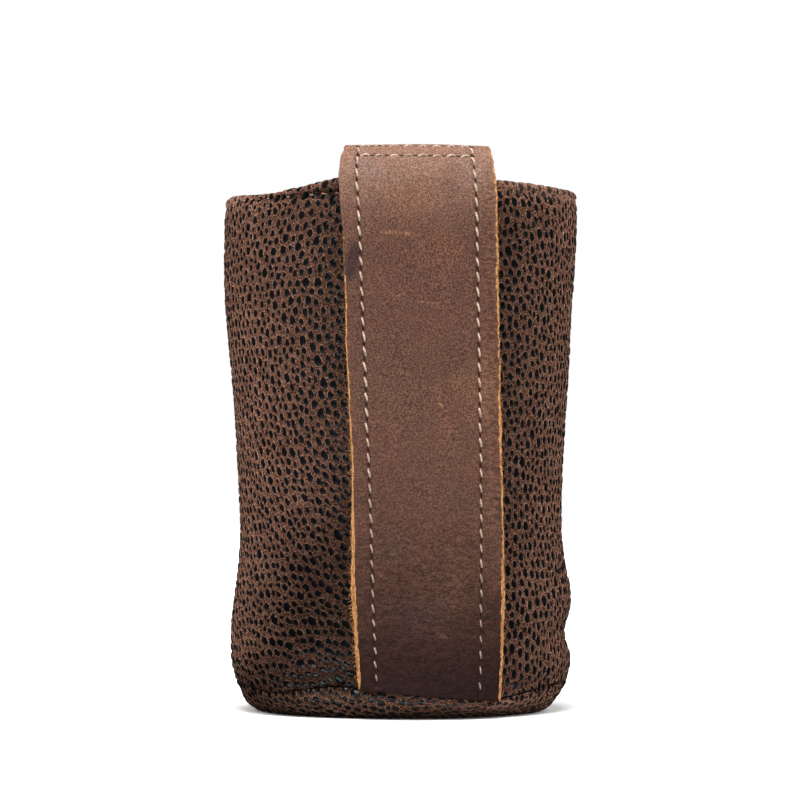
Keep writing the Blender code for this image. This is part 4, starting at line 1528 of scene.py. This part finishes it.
def liner_section():
    """The liner's section loop: up its outer face, over in the fold and down its inner face."""
    inset = LEATHER + LAYER_GAP
    z = np.linspace(WALL_START + inset, FOLD_HEIGHT, 90)
    half = LINER / 2
    over = np.linspace(math.pi, 0, 12)[1:-1]
    outer = wall_radius(z + 2 * MM) - inset
    fold = RIM_RADIUS - inset - half + half * np.cos(over)
    pucker = 0.10 * MM * np.sin(z / (5 * MM))
    pucker = pucker * smooth((FOLD_HEIGHT - HEM_DEPTH - z) / (10 * MM))
    r = np.concatenate([outer - LINER - pucker, fold, outer[::-1]])
    h = np.concatenate([z, FOLD_HEIGHT + half * np.sin(over), z[::-1]])
    return r[::-1], h[::-1]


turned_skin("liner_skin", liner_section(), 180, "wall_liner")

# %% The pad
PAD_PRESSED = 2.5 * MM
PAD_CROWN = 0.25 * MM


def pad_section():
    """The pad's outline from its underside's middle round to its slightly crowned top's middle.

    Soft foam, it spreads a little, out to the liner's foot.
    """
    low = LEATHER + LAYER_GAP
    side = WELL_RADIUS + PAD_PRESSED
    flat = HIP_RADIUS - BASE_CORNER - CREASE_DEPTH - LAYER_GAP
    top = low + PAD_THICKNESS
    soft = PAD_THICKNESS / 8
    turn = np.linspace(0, math.pi / 2, 8)
    r_top = np.linspace(side - soft, 0, 24)[1:]
    crown = PAD_CROWN * (1 - (r_top / side) ** 2) - PAD_CROWN
    r = np.concatenate([[0, flat / 2, flat, side], side - soft + soft * np.cos(turn), r_top])
    under = [low, low, low, low + PAD_THICKNESS / 2]
    z = np.concatenate([under, top - soft + soft * np.sin(turn), top + crown])
    return r, z


turned_skin("base_pad_skin", pad_section(), 120, "base_pad")

# %% [markdown]
# The stage is a plain pale floor. The light is what a white tent gives: an even glow from all
# round, a wide sun from above the camera and a little to its left, and a wider one on each side.
# The glossy pebbles mirror a darker room than that, with a pale table in front and one window.
# The camera has a long lens and looks at the sleeve's front from just above the base's level.
# %% The floor
FLOOR_SEEN = rgb(0.86, 0.86, 0.86)
FLOOR_BOUNCE = rgb(0.60, 0.60, 0.60)
FLOOR_HALF = 6.0


def floor_paper():
    """Pale paper to the eye, and a dimmer one to the light it throws back."""
    net = Net("floor_paper")
    seen = net.add("ShaderNodeLightPath", out="Is Camera Ray")
    tooth = net.noise(60, detail=2)
    colour = net.mix(seen, FLOOR_BOUNCE, FLOOR_SEEN)
    return net.finish(colour, 0.85 + tooth * 0.05, net.bump(tooth, 0.02 * MM, 0.2), specular=0.0)


corners = FLOOR_HALF * np.array([[-1, -1, 0], [1, -1, 0], [1, 1, 0], [-1, 1, 0]])
floor = new_piece("floor", corners, [[0, 1, 2, 3]], floor_paper())
floor.visible_glossy = False

# %% The light
# Each lamp: name, strength, width in degrees, where it stands round the sleeve, how high, and
# whether glossy things mirror it: the side lamps stand for pale walls, too dim to see in a pebble.
LAMPS = (
    ("key_above", 3.5, 30, -14, 60, True),
    ("side_left", 2.7, 60, -101, 30, False),
    ("side_right", 3.0, 60, 103, 30, False),
)
for name, strength, spread, at, height, mirrored in LAMPS:
    lamp = bpy.data.lights.new(name, "SUN")
    lamp.energy = strength
    lamp.angle = math.radians(spread)
    lamp_object = bpy.data.objects.new(name, lamp)
    lamp_object.rotation_euler = Euler((math.radians(90 - height), 0, math.radians(at)), "XYZ")
    lamp_object.visible_glossy = mirrored
    bpy.context.scene.collection.objects.link(lamp_object)

# %% What the pebbles mirror
GLOW = 0.26
MIRRORED_GLOW = 0.03
TABLE_GLOW = 4.2
TABLE_BLUE = rgb(0.72, 0.94, 1.05)
WINDOW = (-0.273, -0.840, 0.469)
WINDOW_GLOW = 5.0
BACKDROP = 1.0


def white_tent():
    """White to the eye, an even glow to matt things, and a dark room to the glossy pebbles.

    The table is a band of directions below level, found from the height z of a direction, in
    front of the sleeve, where y is below 0, and broken by noise. The window is a round patch,
    where the dot product with the window's way is near 1.
    """
    world = bpy.data.worlds.new("white_tent")
    net = Net("white_tent", world)
    seen = net.add("ShaderNodeLightPath", out="Is Camera Ray")
    mirrored = net.add("ShaderNodeLightPath", out="Is Glossy Ray")
    net.place = net.add("ShaderNodeTexCoord", out="Generated")
    x, y, z = net.axes()
    table = z.step(-0.86, -0.60) * (1 - z.step(-0.42, -0.20)) * (1 - y.step(-0.30, 0.25))
    table = table * net.noise(3.4, detail=1).step(0.44, 0.60)
    window = (x * WINDOW[0] + y * WINDOW[1] + z * WINDOW[2]).step(0.90, 0.98)
    room = MIRRORED_GLOW + table * TABLE_GLOW + window * WINDOW_GLOW
    strength = seen * BACKDROP + (1 - seen) * (mirrored * room + (1 - mirrored) * GLOW)
    colour = net.mix(mirrored * table, rgb(1.0, 1.0, 1.0), TABLE_BLUE)
    background = net.add("ShaderNodeBackground", None, {"Color": colour, "Strength": strength})
    net.add("ShaderNodeOutputWorld", None, {"Surface": background})
    return world


world = white_tent()
bpy.context.scene.world = world
bpy.context.scene.view_settings.view_transform = "Standard"

# %% The camera
PHOTO_SIZE = 800
FOCAL_PIXELS = 3338
SENSOR = 36.0
CAMERA_DISTANCE = 0.790
CAMERA_HEIGHT = 49.4 * MM
CAMERA_TURN = -6.8
CAMERA_PITCH = 1.716
AXIS_OFF_CENTRE = 0.47 * MM

camera = bpy.data.cameras.new("photo_camera")
camera.sensor_width = SENSOR
camera.lens = FOCAL_PIXELS / PHOTO_SIZE * SENSOR
camera.clip_start = 0.01
camera_object = bpy.data.objects.new("photo_camera", camera)
turn = math.radians(CAMERA_TURN)
camera_object.location = (
    math.sin(turn) * CAMERA_DISTANCE - math.cos(turn) * AXIS_OFF_CENTRE,
    -math.cos(turn) * CAMERA_DISTANCE - math.sin(turn) * AXIS_OFF_CENTRE,
    CAMERA_HEIGHT,
)
camera_object.rotation_euler = Euler((math.radians(90 + CAMERA_PITCH), 0, turn), "XYZ")
bpy.context.scene.collection.objects.link(camera_object)
bpy.context.scene.camera = camera_object
print(f"lens {camera.lens:.1f} mm at {CAMERA_DISTANCE} m")
